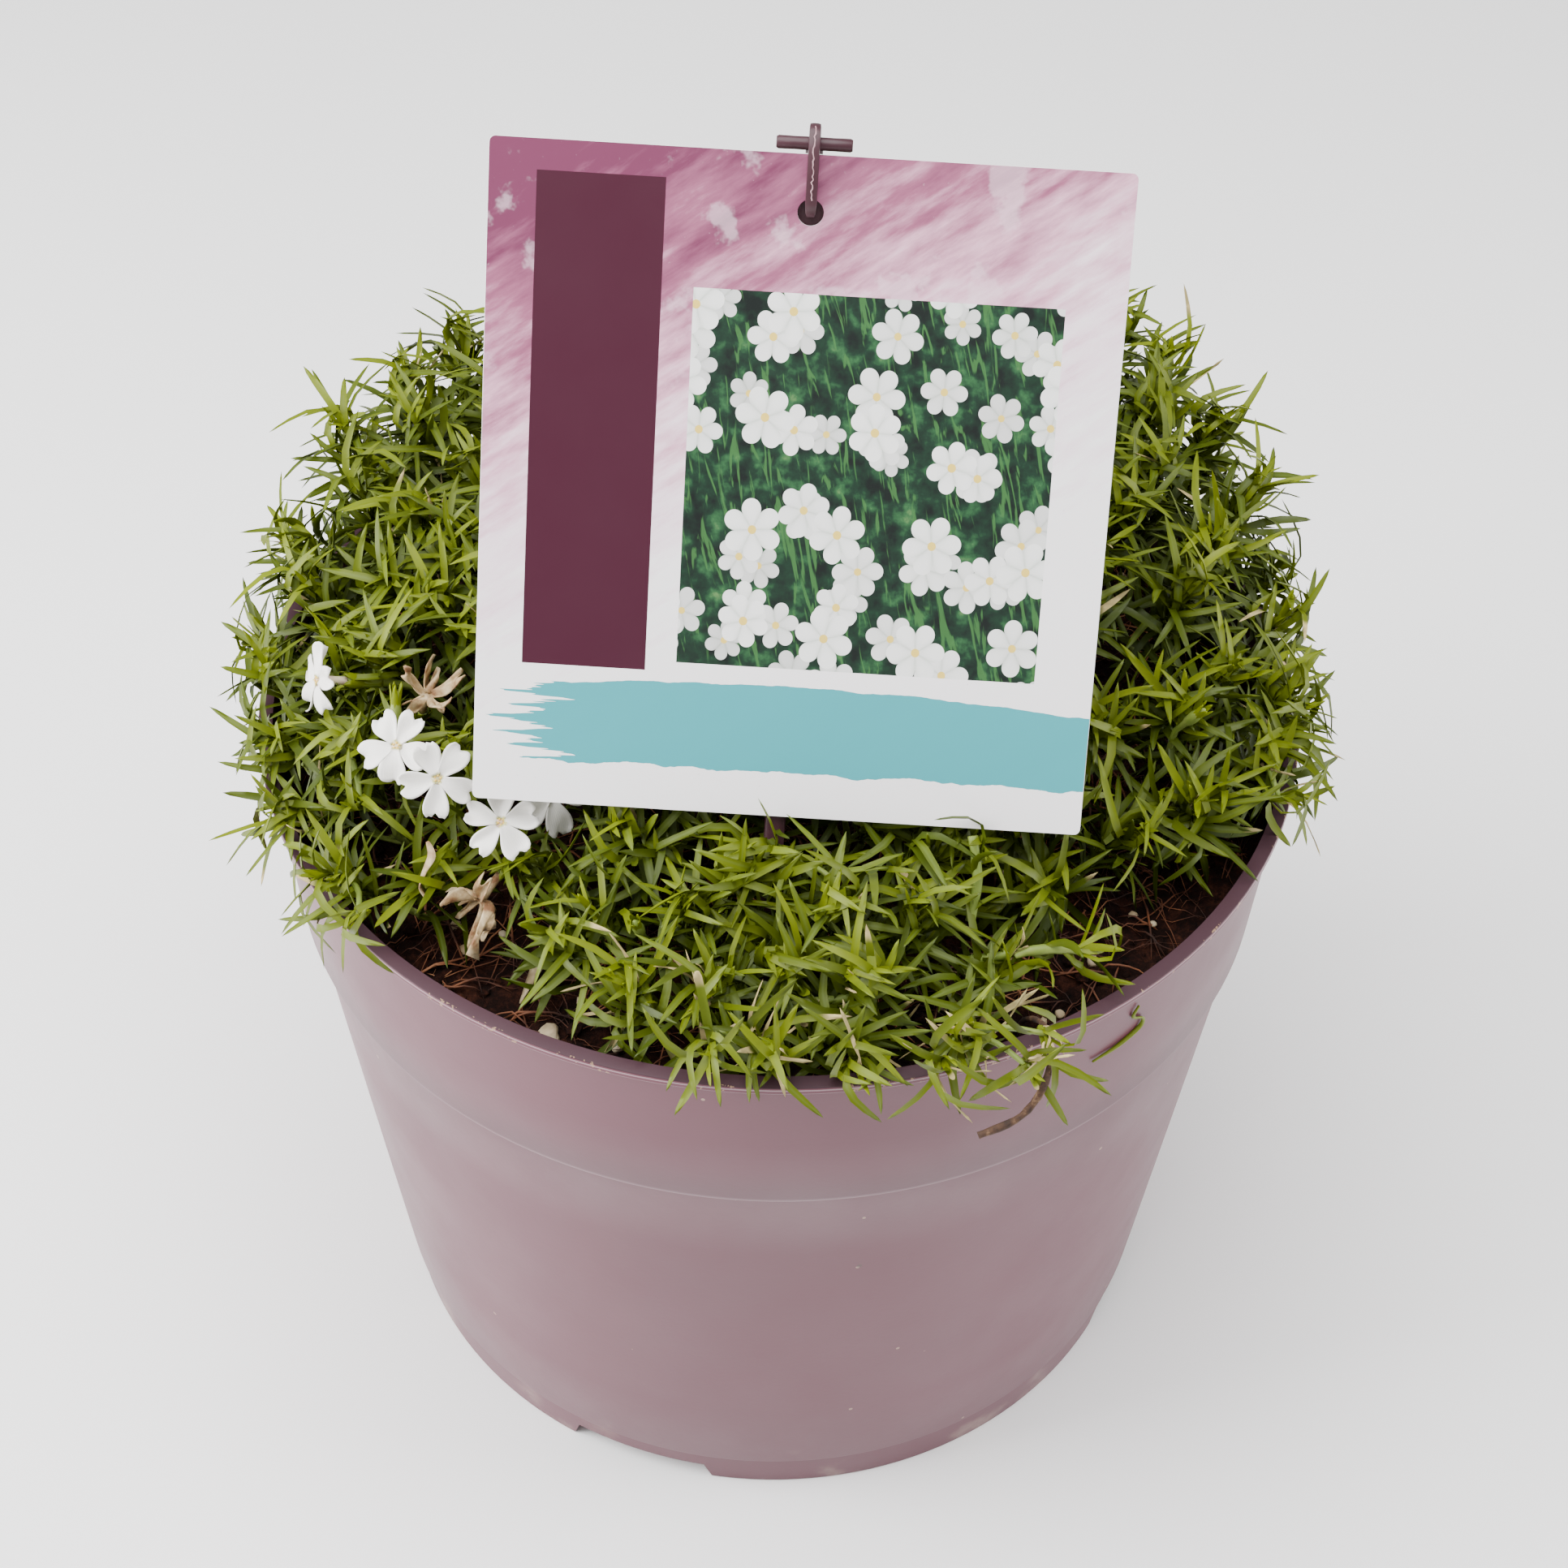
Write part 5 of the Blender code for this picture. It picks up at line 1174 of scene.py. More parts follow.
class LeafPattern:
    """A leaf of unit length and half width: a keeled, channelled blade that arches and bends aside."""

    def __init__(self, bow, aside, stations=STATIONS, pointed=True, twist=0.0):
        bm = bmesh.new()
        ring = bmesh.ops.create_circle(bm, segments=4, radius=1.0, cap_ends=True)["verts"]
        self.bow, self.aside = bow, aside
        self.along, self.ribs = [], []
        edges = list(ring[0].link_faces[0].edges)
        for index, (along, half) in enumerate(stations):
            if index:
                ring, edges = grow_ring(bm, ring, edges)
            for (across, lift), vert in zip(LEAF_SECTION, ring):
                vert.co = (across * half, along, lift * (0.6 + 0.4 * half))
        if pointed:
            tips = bmesh.ops.extrude_edge_only(bm, edges=edges)["geom"]
            fresh = [g for g in tips if isinstance(g, bmesh.types.BMVert)]
            bmesh.ops.pointmerge(bm, verts=fresh, merge_co=(0.0, 1.0, 0.05))
        else:
            bmesh.ops.contextual_create(bm, geom=edges)
        bmesh.ops.remove_doubles(bm, verts=bm.verts, dist=1e-5)
        outward(bm)
        for edge in bm.edges:
            first, second = edge.verts
            margin = first.co.x * second.co.x > 0.0 and abs(first.co.y - second.co.y) > 0.01
            edge.smooth = not margin
        for face in bm.faces:
            face.smooth = True
        for vert in bm.verts:
            x, along, z = vert.co
            self.ribs.append(min(abs(x) / 0.9 + (0.7 if z < -0.05 else 0.0), 1.0))
            self.along.append(along)
            wave = math.sin(math.pi * along ** 0.72)
            turn = twist * along
            cosine, sine = math.cos(turn), math.sin(turn)
            vert.co.x, vert.co.z = x * cosine - z * sine, x * sine + z * cosine
            vert.co.z += bow * wave
            vert.co.x += aside * wave
        self.mesh = mesh_from(bm, "leaf_pattern")


def toned_mesh():
    """An empty mesh with the values that the leaf and petal materials read."""
    bm = bmesh.new()
    bm.verts.layers.float_color.new("tone")
    bm.verts.layers.float.new("rib")
    return bm


def lay_pattern(bm, pattern, root, tip, up, half, tone):
    """Add a leaf pattern to a mesh from root to tip, its channelled side up, toned (age, shade, dryness)."""
    along = tip - root
    length = along.length
    way = along / length
    up = (up - way * up.dot(way)).normalized()
    side = way.cross(up)
    rows = [(side[i] * half, way[i] * length, up[i] * half, root[i]) for i in range(3)]
    place = Matrix((*rows, (0.0, 0.0, 0.0, 1.0)))
    fresh, faces = append_mesh(bm, pattern.mesh)
    bmesh.ops.transform(bm, matrix=place, verts=fresh)
    layer, rib_layer = bm.verts.layers.float_color["tone"], bm.verts.layers.float["rib"]
    for vert, run, rib in zip(fresh, pattern.along, pattern.ribs):
        vert[layer] = (*tone, run)
        vert[rib_layer] = rib
    return faces


class StemReading:
    """What the solid of a leafy stem tells: its leaves, its shoot tips and its bare body."""

    def __init__(self, node):
        self.leaves = []
        self.tips = []
        bm = bmesh.new()
        bm.from_mesh(NODES[node].data)
        bmesh.ops.remove_doubles(bm, verts=bm.verts, dist=MERGE)
        spikes = []
        for vert in bm.verts:
            arms = [edge.other_vert(vert).co - vert.co for edge in vert.link_edges]
            if len(arms) < 3:
                continue
            mean = sum((arm.normalized() for arm in arms), Vector()).normalized()
            if min(arm.normalized().dot(mean) for arm in arms) < SPIKE_COS:
                continue
            reach = max(arm.length for arm in arms)
            if reach > LEAST_LEAF:
                self.leaves.append(self.read_leaf(vert, arms, reach))
                spikes.append(vert)
            elif reach > LEAST_TIP:
                self.tips.append((vert.co.copy(), -mean))
        bmesh.ops.delete(bm, geom=spikes, context="VERTS")
        rims = [edge for edge in bm.edges if edge.is_boundary]
        bmesh.ops.holes_fill(bm, edges=rims, sides=0)
        self.body = bm

    def owns(self, place):
        """Whether a place is one of this stem's shoot tips."""
        return any((tip - place).length < MERGE for tip, _ in self.tips)

    def read_leaf(self, vert, arms, reach):
        """Root, tip and the way that the shoot runs there."""
        far = [vert.co + arm for arm in arms if arm.length > 0.72 * reach]
        root = sum(far, Vector()) / len(far)
        spread = np.array([tuple(point - root) for point in far])
        shoot_way = Vector(np.linalg.svd(spread)[2][0]) if len(far) > 2 else UP.copy()
        upward = Vector((root.x * 6.0, root.y * 6.0, 1.0))
        if shoot_way.dot(upward) < 0.0:
            shoot_way.negate()
        return root, vert.co.copy(), shoot_way.normalized()


def rounded_body(bm):
    """The bare stems with their corners smoothed, as a mesh."""
    rough = add_object("bare_stem", mesh_from(bm, "bare_stem"))
    step = rough.modifiers.new("round", "SUBSURF")
    step.levels = 1
    step.render_levels = 1
    result = modified_mesh(rough)
    bpy.data.objects.remove(rough, do_unlink=True)
    return result


class Patterns:
    """The leaf patterns of each kind: grown, young, dry and trimmed."""

    def __init__(self):
        self.kinds = {
            "grown": [LeafPattern(bow, aside) for bow, aside in LEAF_FORMS],
            "young": [LeafPattern(bow, aside) for bow, aside in YOUNG_FORMS],
            "dry": [LeafPattern(bow, aside, DRY_STATIONS, twist=twist) for bow, aside, twist in DRY_FORMS],
            "trimmed": [LeafPattern(0.9, 0.2, CUT_STATIONS, pointed=False)],
        }

    def remove(self):
        for patterns in self.kinds.values():
            for pattern in patterns:
                bpy.data.meshes.remove(pattern.mesh)


def is_trimmed(point):
    """Whether a point lies in the front edge of the mat, which was trimmed."""
    bearing = math.degrees(math.atan2(point.y, point.x))
    low, high = TRIMMED_BEARINGS
    return low < bearing < high and math.hypot(point.x, point.y) > TRIMMED_FROM


def dry_chance(point):
    """The share of leaves that have dried at a point: more at the trimmed front and along the rim."""
    if is_trimmed(point):
        return TRIMMED_DRY
    bearing = math.degrees(math.atan2(point.y, point.x))
    radius = math.hypot(point.x, point.y)
    for (low, high), limit, chance in DRY_SECTORS:
        if low < bearing < high and radius > limit:
            return chance
    return USUAL_DRY


class Spray:
    """The leaves and side shoots of one leafy stem, gathered into one mesh."""

    def __init__(self, look, patterns, tips, draw):
        self.look = look
        self.patterns = patterns
        self.tips = tips
        self.draw = draw
        self.bm = toned_mesh()

    def age_at(self, point):
        _, _, distance = self.tips.find(point)
        return min(distance / AGE_REACH, 1.0)

    def choose(self, root, age):
        """The kind of leaf for a place, how far it has dried, and its share of the full width."""
        draw = self.draw
        if draw.random() >= dry_chance(root):
            return ("young" if age < 0.12 else "grown"), 0.0, 1.0
        pick = draw.random()
        if pick < 0.50:
            return "dry", 1.1, draw.uniform(0.5, 0.9)
        if pick < 0.62 and is_trimmed(root):
            return "trimmed", draw.uniform(0.08, 0.3), 1.1
        return "grown", draw.uniform(0.10, 0.45), 0.9

    def add_leaf(self, root, tip, shoot_way, share=1.0, age=None):
        """Lay a leaf pattern from root to tip, its channelled side towards the shoot's tip."""
        along = tip - root
        length = along.length
        way = along / length
        up = shoot_way - way * shoot_way.dot(way)
        if up.length < 0.05:
            up = UP - way * way.z
        up.normalize()
        up = Matrix.Rotation(self.draw.uniform(-0.6, 0.6), 3, way) @ up
        age = self.age_at(root) if age is None else age
        kind, dry, width = self.choose(root, age)
        half = self.look.half_width * share * width * self.draw.uniform(0.82, 1.16)
        half *= min(1.0, 0.5 + 0.5 * length / FULL_LENGTH)
        side = way.cross(up)
        for _ in range(CHOICES):
            pattern = self.draw.choice(self.patterns.kinds[kind])
            middle = root.lerp(tip, 0.42) + (up * pattern.bow + side * pattern.aside) * half
            if bends_clear(root, middle, tip):
                break
        else:
            pattern = self.patterns.kinds["young"][0]
        lay_pattern(self.bm, pattern, root - way * 0.5 * MM, tip, up, half, (age, self.draw.random(), dry))

    def add_rosette(self, tip, way, count, kind, age):
        """Leaves all around a shoot's tip."""
        lengths, leans = ROSETTES[kind]
        side = way.orthogonal().normalized()
        start = self.draw.uniform(0.0, math.tau)
        for index in range(count):
            angle = start + index * LEAF_TURN + self.draw.uniform(-0.5, 0.5)
            out = Matrix.Rotation(angle, 3, way) @ side
            lean = math.radians(self.draw.uniform(*leans))
            length = self.draw.uniform(*lengths)
            root = tip - way * self.draw.uniform(0.2, 2.6) * MM
            end = root + (way * math.cos(lean) + out * math.sin(lean)) * length
            if has_room(root, end):
                self.add_leaf(root, end, way, ROSETTE_SHARE, age)

    def add_stub(self, tip, way):
        """The blunt end of a cut shoot, straw-coloured where it was cut."""
        draw = self.draw
        aside = Vector((draw.uniform(-0.6, 0.6), draw.uniform(-0.6, 0.6), 0.0))
        end = tip + (way + aside) * draw.uniform(3.0, 6.5) * MM
        if has_room(tip, end):
            lay_pattern(self.bm, self.patterns.kinds["trimmed"][0], tip - way * 1.5 * MM, end,
                        way.orthogonal().normalized(), draw.uniform(0.75, 1.05) * MM,
                        (0.3, 0.8, draw.uniform(0.2, 0.6)))

    def add_shoot(self, line, sizes, sides, hint):
        """A green stem along a line."""
        add_rod(self.bm, line, sizes, sizes, sides, hint, 1)

    def add_body(self, stem):
        """Join the rounded bare stems to the leaves."""
        body = rounded_body(stem)
        _, faces = append_mesh(self.bm, body)
        for face in faces:
            face.material_index = 1
        bpy.data.meshes.remove(body)


# Rosettes that reach out from the nearest shoot: over the rim and over bare spots, in millimetres
RUNNERS = (
    ((44.0, -88.5, 151.0), (0.35, -0.80, 0.35)),
    ((41.0, -94.0, 149.0), (0.20, -0.90, 0.20)),
    ((27.0, -92.5, 149.5), (0.10, -0.90, 0.35)),
    ((-69.5, -65.0, 150.5), (-0.70, -0.70, 0.20)),
    ((-75.0, -56.0, 151.5), (-0.75, -0.50, 0.45)),
    ((-71.0, -44.0, 156.0), (-0.45, -0.35, 0.80)),
    ((-10.0, -92.0, 150.0), (-0.15, -0.90, 0.35)),
    ((87.0, -36.0, 153.0), (0.80, -0.40, 0.45)),
    ((91.0, -18.0, 158.0), (0.90, -0.20, 0.40)),
    ((-62.0, -37.0, 159.0), (-0.30, -0.40, 0.85)),
    ((-48.0, -48.0, 152.0), (-0.10, -0.60, 0.80)),
    ((-6.0, -63.5, 158.0), (0.35, -0.65, 0.65)),
    ((5.0, -65.5, 155.5), (-0.45, -0.60, 0.65)),
    ((-3.5, -70.5, 150.0), (0.15, -0.70, 0.70)),
    ((3.0, -60.5, 161.0), (-0.40, -0.75, 0.50)),
    ((-8.0, -62.0, 161.5), (0.80, -0.25, 0.50)),
    ((5.5, -62.0, 162.0), (-0.80, -0.25, 0.50)),
)


# Bare shoots that show between the leaves at the front, in millimetres
BARE_SHOOTS = (
    ((-29.7, -65.5, 151.5), (-27.4, -66.6, 148.0), (-24.4, -69.1, 143.0), (-20.4, -74.5, 138.0),
     (-15.6, -80.7, 132.5)),
    ((32.2, -58.9, 166.0), (32.8, -61.5, 163.0), (33.1, -64.2, 160.0), (32.1, -67.8, 155.0)),
    ((50.2, -71.0, 152.0), (44.0, -72.4, 153.5), (38.0, -73.0, 152.5), (32.0, -72.0, 150.0)),
    ((-6.5, -78.5, 151.0), (-3.8, -78.8, 148.0), (-0.5, -79.3, 147.0), (6.1, -80.0, 148.0),
     (12.7, -79.5, 149.0)),
)
BARE_RADIUS = 0.85 * MM


class PHLOX_OT_foliage(Operator):
    """Grow the leaves, young rosettes and side shoots of every leafy stem"""
    bl_idname = "phlox.foliage"
    bl_label = "Foliage"

    def execute(self, context):
        look = context.scene.phlox_foliage
        draw = random.Random(11)
        patterns = Patterns()
        names = sorted(name for name in NODES if name.startswith("leafy_stem"))
        readings = {name: StemReading(name) for name in names}
        taken = [tip for reading in readings.values() for tip, _ in reading.tips]
        tips = kdtree.KDTree(len(taken))
        for index, tip in enumerate(taken):
            tips.insert(tip, index)
        tips.balance()
        materials = [leaf_green(look), shoot_bark()]
        for name, reading in readings.items():
            spray = Spray(look, patterns, tips, draw)
            self.clothe(spray, reading, look, taken)
            for target, way in RUNNERS:
                self.add_runner(spray, reading, Vector(target) * MM, Vector(way).normalized())
            for points in BARE_SHOOTS:
                self.add_bare_shoot(spray, reading, [Vector(point) * MM for point in points])
            spray.add_body(reading.body)
            number = name.rsplit("_", 1)[1]
            finish_piece(f"foliage_{number}", spray.bm, materials, (name,))
        patterns.remove()
        return {"FINISHED"}

    def clothe(self, spray, reading, look, taken):
        """Dress every tip and every leaf of the stem's solid, with more leaves and side shoots between."""
        draw = spray.draw
        for tip, way in reading.tips:
            self.clothe_tip(spray, tip, way)
        for root, tip, way in reading.leaves:
            longer = root + (tip - root) * draw.uniform(1.0, 1.22)
            spray.add_leaf(root, longer if has_room(root, longer) else tip, way)
            length = (tip - root).length
            leaf_way = (tip - root) / length
            for _ in range(2 if draw.random() < look.extra_leaves else 1):
                turn = draw.choice((-1.0, 1.0)) * draw.uniform(0.5, 1.3)
                other = Matrix.Rotation(turn, 3, way) @ leaf_way
                other = (other + way * draw.uniform(-0.35, 0.45)).normalized()
                end = root + other * length * draw.uniform(0.75, 1.25)
                if has_room(root, end):
                    spray.add_leaf(root, end, way)
            if draw.random() < look.side_rosettes:
                self.add_side_shoot(spray, root, leaf_way, way, taken)

    def clothe_tip(self, spray, tip, way):
        """Young leaves at a shoot's tip, leaves that hang over the pot's lip, and a cut end at the front."""
        draw = spray.draw
        fresh = draw.random()
        if is_trimmed(tip) and draw.random() < STUB_CHANCE:
            spray.add_stub(tip, way)
        elif fresh < HEART_CHANCE:
            spray.add_rosette(tip, way, draw.choice((2, 2, 3, 4)), "tip_heart", 0.0)
        spray.add_rosette(tip, way, draw.choice((3, 4)), "tip_skirt", 0.10 + 0.25 * fresh)
        if math.hypot(tip.x, tip.y) > OVERHANG_FROM and tip.z < OVERHANG_BELOW:
            outward_way = Vector((tip.x, tip.y, 0.0)).normalized()
            for _ in range(5):
                aside = Vector((draw.uniform(-0.8, 0.8), draw.uniform(-0.8, 0.8), draw.uniform(-1.1, 0.0)))
                end = tip + (outward_way + aside).normalized() * draw.uniform(9.0, 15.0) * MM
                if has_room(tip, end):
                    spray.add_leaf(tip - way * 1.5 * MM, end, UP, 1.0, 0.35)

    def add_side_shoot(self, spray, root, leaf_way, shoot_way, taken):
        """A short side shoot from a leaf's axil, where no other tip is near."""
        draw = spray.draw
        way = (leaf_way * draw.uniform(0.5, 1.0) + shoot_way * draw.uniform(0.5, 1.0)).normalized()
        length = draw.uniform(3.5, 9.0) * MM
        tip = root + way * length
        if not has_room(root, tip) or any((tip - other).length < SIDE_SHOOT_GAP for other in taken):
            return
        taken.append(tip)
        line = [root - way * 0.4 * MM, root + way * length * 0.5, tip]
        spray.add_shoot(line, [0.55 * MM, 0.5 * MM, 0.4 * MM], 6, way.orthogonal().normalized())
        age = 0.1 + 0.75 * spray.age_at(tip)
        spray.add_rosette(tip, way, draw.choice((1, 2, 3)), "side_heart", age * 0.5)
        spray.add_rosette(tip, way, draw.choice((5, 6)), "side_skirt", age)

    def add_runner(self, spray, reading, target, way):
        """A thin shoot from this stem to a stated place, if this is the stem whose tip is nearest."""
        nearest, _, _ = spray.tips.find(target)
        if not reading.owns(nearest):
            return
        middle = (nearest + target) / 2 + Vector((0.0, 0.0, 1.0 * MM)) - way * 1.0 * MM
        line = spline([nearest - (target - nearest).normalized() * 0.5 * MM, middle, target], 3)
        sizes = [0.6 * MM - 0.15 * MM * index / (len(line) - 1) for index in range(len(line))]
        spray.add_shoot(line, sizes, 7, way.orthogonal().normalized())
        spray.add_rosette(target, way, 3, "runner_heart", 0.05)
        spray.add_rosette(target, way, 9, "runner_skirt", 0.3)

    def add_bare_shoot(self, spray, reading, points):
        """A visible stretch of stem with leaf pairs, if this stem's tip is the nearest to its start."""
        if not reading.owns(spray.tips.find(points[0])[0]):
            return
        line = spline(points, 4)
        sizes = [BARE_RADIUS * spray.draw.uniform(0.9, 1.08) for _ in line]
        spray.add_shoot(line, sizes, 9, Vector((1.0, 0.0, 0.3)))
        start_way = (line[0] - line[1]).normalized()
        spray.add_rosette(line[0], start_way, 3, "bare_heart", 0.02)
        spray.add_rosette(line[0], start_way, 6, "bare_skirt", 0.25)
        for index in range(2, len(line) - 1, 3):
            way = (line[index - 1] - line[index]).normalized()
            spray.add_rosette(line[index] + way * 1.5 * MM, way, 2, "bare_pair", 0.5)


# Flowers

def flower_frame(spec):
    """A flower's centre and its three axes: the way it looks, and two across its face."""
    centre, way, turn = spec
    axis = Vector(way).normalized()
    side = Matrix.Rotation(math.radians(turn), 3, axis) @ UP.cross(axis).normalized()
    return Vector(centre) * MM, axis, side, axis.cross(side)


def around(flower, angle):
    """The way out from a flower's axis at an angle."""
    _, _, side, normal = flower
    return side * math.cos(angle) + normal * math.sin(angle)


def petal_point(across, out, form, shift):
    """A point of a petal, in petal lengths: along the petal, across it and up off its plane."""
    narrow, wide, droop, curl, ragged = form
    swell = math.sin(min(out / 0.74, 1.0) * math.pi / 2) ** 1.5
    close = math.sqrt(max(0.0, 1.0 - max(0.0, (out - 0.74) / 0.30) ** 2))
    half = (narrow + (wide - narrow) * swell) * (0.45 + 0.55 * close)
    end = max(0.0, (out - 0.6) / 0.4) ** 2
    notch = 0.13 * math.exp(-(across / 0.28) ** 2) * end
    tooth = ragged * math.sin(9.0 * across + shift) * math.sin(17.0 * across + 2.0 * shift)
    lift = 0.10 * across * across * half / wide - droop * out * out + 0.03 * math.sin(5.0 * out + shift)
    lift += curl * math.sin(3.0 * across + 4.0 * out + shift) * out
    return out - notch + tooth * end, across * half, lift


def add_petal(bm, tone, flower, angle, form, draw):
    """One petal as a grid that is bent to its form and given a thickness."""
    centre, axis, _, _ = flower
    way = around(flower, angle)
    cross = axis.cross(way)
    grid = bmesh.ops.create_grid(bm, x_segments=10, y_segments=9, size=1.0)["verts"]
    shift = draw.uniform(0.0, 6.0)
    narrow, wide, droop, curl, ragged = form
    form = (narrow, wide * draw.uniform(0.80, 1.12), droop * draw.uniform(-0.6, 2.0),
            curl * draw.uniform(0.5, 1.7), ragged * draw.uniform(0.6, 1.8))
    reach = draw.uniform(0.86, 1.0) * (1.0 if droop > 0.0 else 0.80)
    roll = draw.uniform(-1.0, 1.0) * 2.2 * curl
    for vert in grid:
        across, out = vert.co.x, (vert.co.y + 1.0) / 2
        along, wide, lift = petal_point(across, out, form, shift)
        lift += roll * wide * out
        vert[tone] = (out, across * 0.5 + 0.5, 0.0, out)
        vert.co = (centre + way * ((along * 0.93 * reach + 0.07) * PETAL_LENGTH)
                   + cross * (wide * PETAL_LENGTH) + axis * (lift * PETAL_LENGTH))
    faces = list({face for vert in grid for face in vert.link_faces})
    bmesh.ops.recalc_face_normals(bm, faces=faces)
    bmesh.ops.solidify(bm, geom=faces, thickness=PETAL_THICKNESS)


def add_calyx(bm, pattern, flower):
    """Five pointed sepals around the back of the tube."""
    centre, axis, _, _ = flower
    for index in range(PETAL_COUNT):
        out = around(flower, math.tau * index / PETAL_COUNT)
        root = centre - axis * (CALYX_BOTTOM - 0.6 * MM) + out * CALYX_RADIUS * 0.55
        tip = centre - axis * (CALYX_TOP - 0.9 * MM) + out * CALYX_RADIUS * 1.05
        for face in lay_pattern(bm, pattern, root, tip, -out, SEPAL_HALF, (0.25, 0.5, 0.0)):
            face.material_index = 1


FRESH_FORM = (0.11, 0.35, 0.09, 0.060, 0.036)
WITHERED_FORM = (0.10, 0.19, -0.62, 0.40, 0.14)


def build_flower(name, node, spec, form, materials, pattern, draw):
    """A flower: petals, calyx, tube and anthers. Materials in the order petal, sepal, tube, anther."""
    flower = flower_frame(spec)
    centre, axis, side, _ = flower
    bm = toned_mesh()
    tone = bm.verts.layers.float_color["tone"]
    for index in range(PETAL_COUNT):
        angle = math.tau * (index + 0.5) / PETAL_COUNT + draw.uniform(-0.11, 0.11)
        add_petal(bm, tone, flower, angle, form, draw)
    add_calyx(bm, pattern, flower)
    line = [centre - axis * (TUBE_LENGTH * share) for share in (1.0, 0.6, 0.25, 0.06, -0.02)]
    sizes = [TUBE_RADIUS * share for share in (0.8, 0.85, 0.95, 1.15, 1.35)]
    add_rod(bm, line, sizes, sizes, 12, side, 2)
    if form is FRESH_FORM:
        for index in range(PETAL_COUNT):
            out = around(flower, math.tau * index / PETAL_COUNT)
            grain = bmesh.ops.create_icosphere(bm, subdivisions=1, radius=ANTHER_RADIUS)["verts"]
            bmesh.ops.translate(bm, vec=centre + out * 0.5 * MM + axis * 0.22 * MM, verts=grain)
            for face in {face for vert in grain for face in vert.link_faces}:
                face.material_index = 3
    finish_piece(name, bm, materials, (node,))


class PHLOX_OT_flowers(Operator):
    """Open the five white flowers and hang the two withered ones"""
    bl_idname = "phlox.flowers"
    bl_label = "Flowers"

    def execute(self, context):
        draw = random.Random(3)
        pattern = LeafPattern(0.2, 0.0)
        sepal = leaf_green(context.scene.phlox_foliage)
        fresh = [petal_white(), sepal, tube_cream(), mottled("anther")]
        dry = [mottled("withered petal"), sepal, mottled("withered petal")]
        kinds = (("open_flower", "flower", FRESH_FLOWERS, FRESH_FORM, fresh, "petal_white"),
                 ("dry_flower", "withered_flower", WITHERED_FLOWERS, WITHERED_FORM, dry, "dry_straw"))
        for name, node, specs, form, materials, slot in kinds:
            for index, spec in enumerate(specs, 1):
                build_flower(f"{name}_{index}", f"{node}_{index}", spec, form, materials, pattern, draw)
        bpy.data.meshes.remove(pattern.mesh)
        return {"FINISHED"}


# Dead stem, buds and loose leaves: lines, places and sizes in millimetres

DRY_LEAF_LINE = ((-35.9, -55.5, 145.0), (-37.6, -58.6, 141.0), (-40.0, -62.2, 137.2), (-41.8, -65.5, 134.8),
                 (-43.2, -68.2, 132.9))
DRY_STRIP_LINE = ((-58.1, -56.5, 160.0), (-57.4, -57.8, 158.0), (-58.6, -58.8, 155.5), (-59.6, -59.6, 152.5),
                  (-58.2, -61.0, 150.5))
SCRAP_LINE = ((61.4, 138.0), (60.6, 135.6), (62.6, 133.2), (62.2, 131.0), (58.5, 129.6), (54.0, 129.2))
BUDS = (
    ((-65.4, -35.0, 164.2), (0.05, 0.45, 0.90), 7.5),
    ((-49.5, -40.4, 164.0), (-0.93, -0.15, 0.25), 7.0),
    ((-22.0, -70.0, 153.0), (-0.2, -0.3, 0.9), 5.0),
    ((70.0, -28.0, 163.0), (0.5, -0.2, 0.8), 5.5),
)
BUD_STALK = 14.0 * MM
PEARLS = ((-37.6, -75.1, 1.9), (-53.6, -56.7, 1.1), (-47.4, -53.2, 0.8), (-26.5, -77.5, 1.0),
          (-57.0, -64.0, 0.6), (48.5, -68.0, 0.9), (66.0, -47.0, 0.7))
SCRAP_LIFT = 0.40


def ribbon(line, halves, thick, twist, sides=6):
    """A thin dried strip that twists along its line, with half widths and a half thickness in millimetres."""
    bm = bmesh.new()
    points = spline([Vector(p) * MM for p in line], 5)
    count = len(points) - 1
    widths = []
    for index in range(count + 1):
        place = index / count * (len(halves) - 1)
        low = min(int(place), len(halves) - 2)
        widths.append((halves[low] + (halves[low + 1] - halves[low]) * (place - low)) * MM)
    verts = add_rod(bm, points, widths, [thick * MM] * (count + 1), sides, Vector((1.0, 0.2, 0.0)))
    for index, point in enumerate(points):
        before, after = points[max(index - 1, 0)], points[min(index + 1, count)]
        turn = Matrix.Rotation(twist * index / count, 3, (after - before).normalized())
        for vert in verts[index * sides:(index + 1) * sides]:
            vert.co = point + turn @ (vert.co - point)
    outward(bm)
    return bm


def wall_scrap():
    """The line of a scrap of leaf that clings to the pot's band: from x and height to points on the wall."""
    line = []
    for x, height in SCRAP_LINE:
        radius = wall_radius(height * MM) / MM + SCRAP_LIFT
        line.append((x, -math.sqrt(radius * radius - x * x), height))
    return line


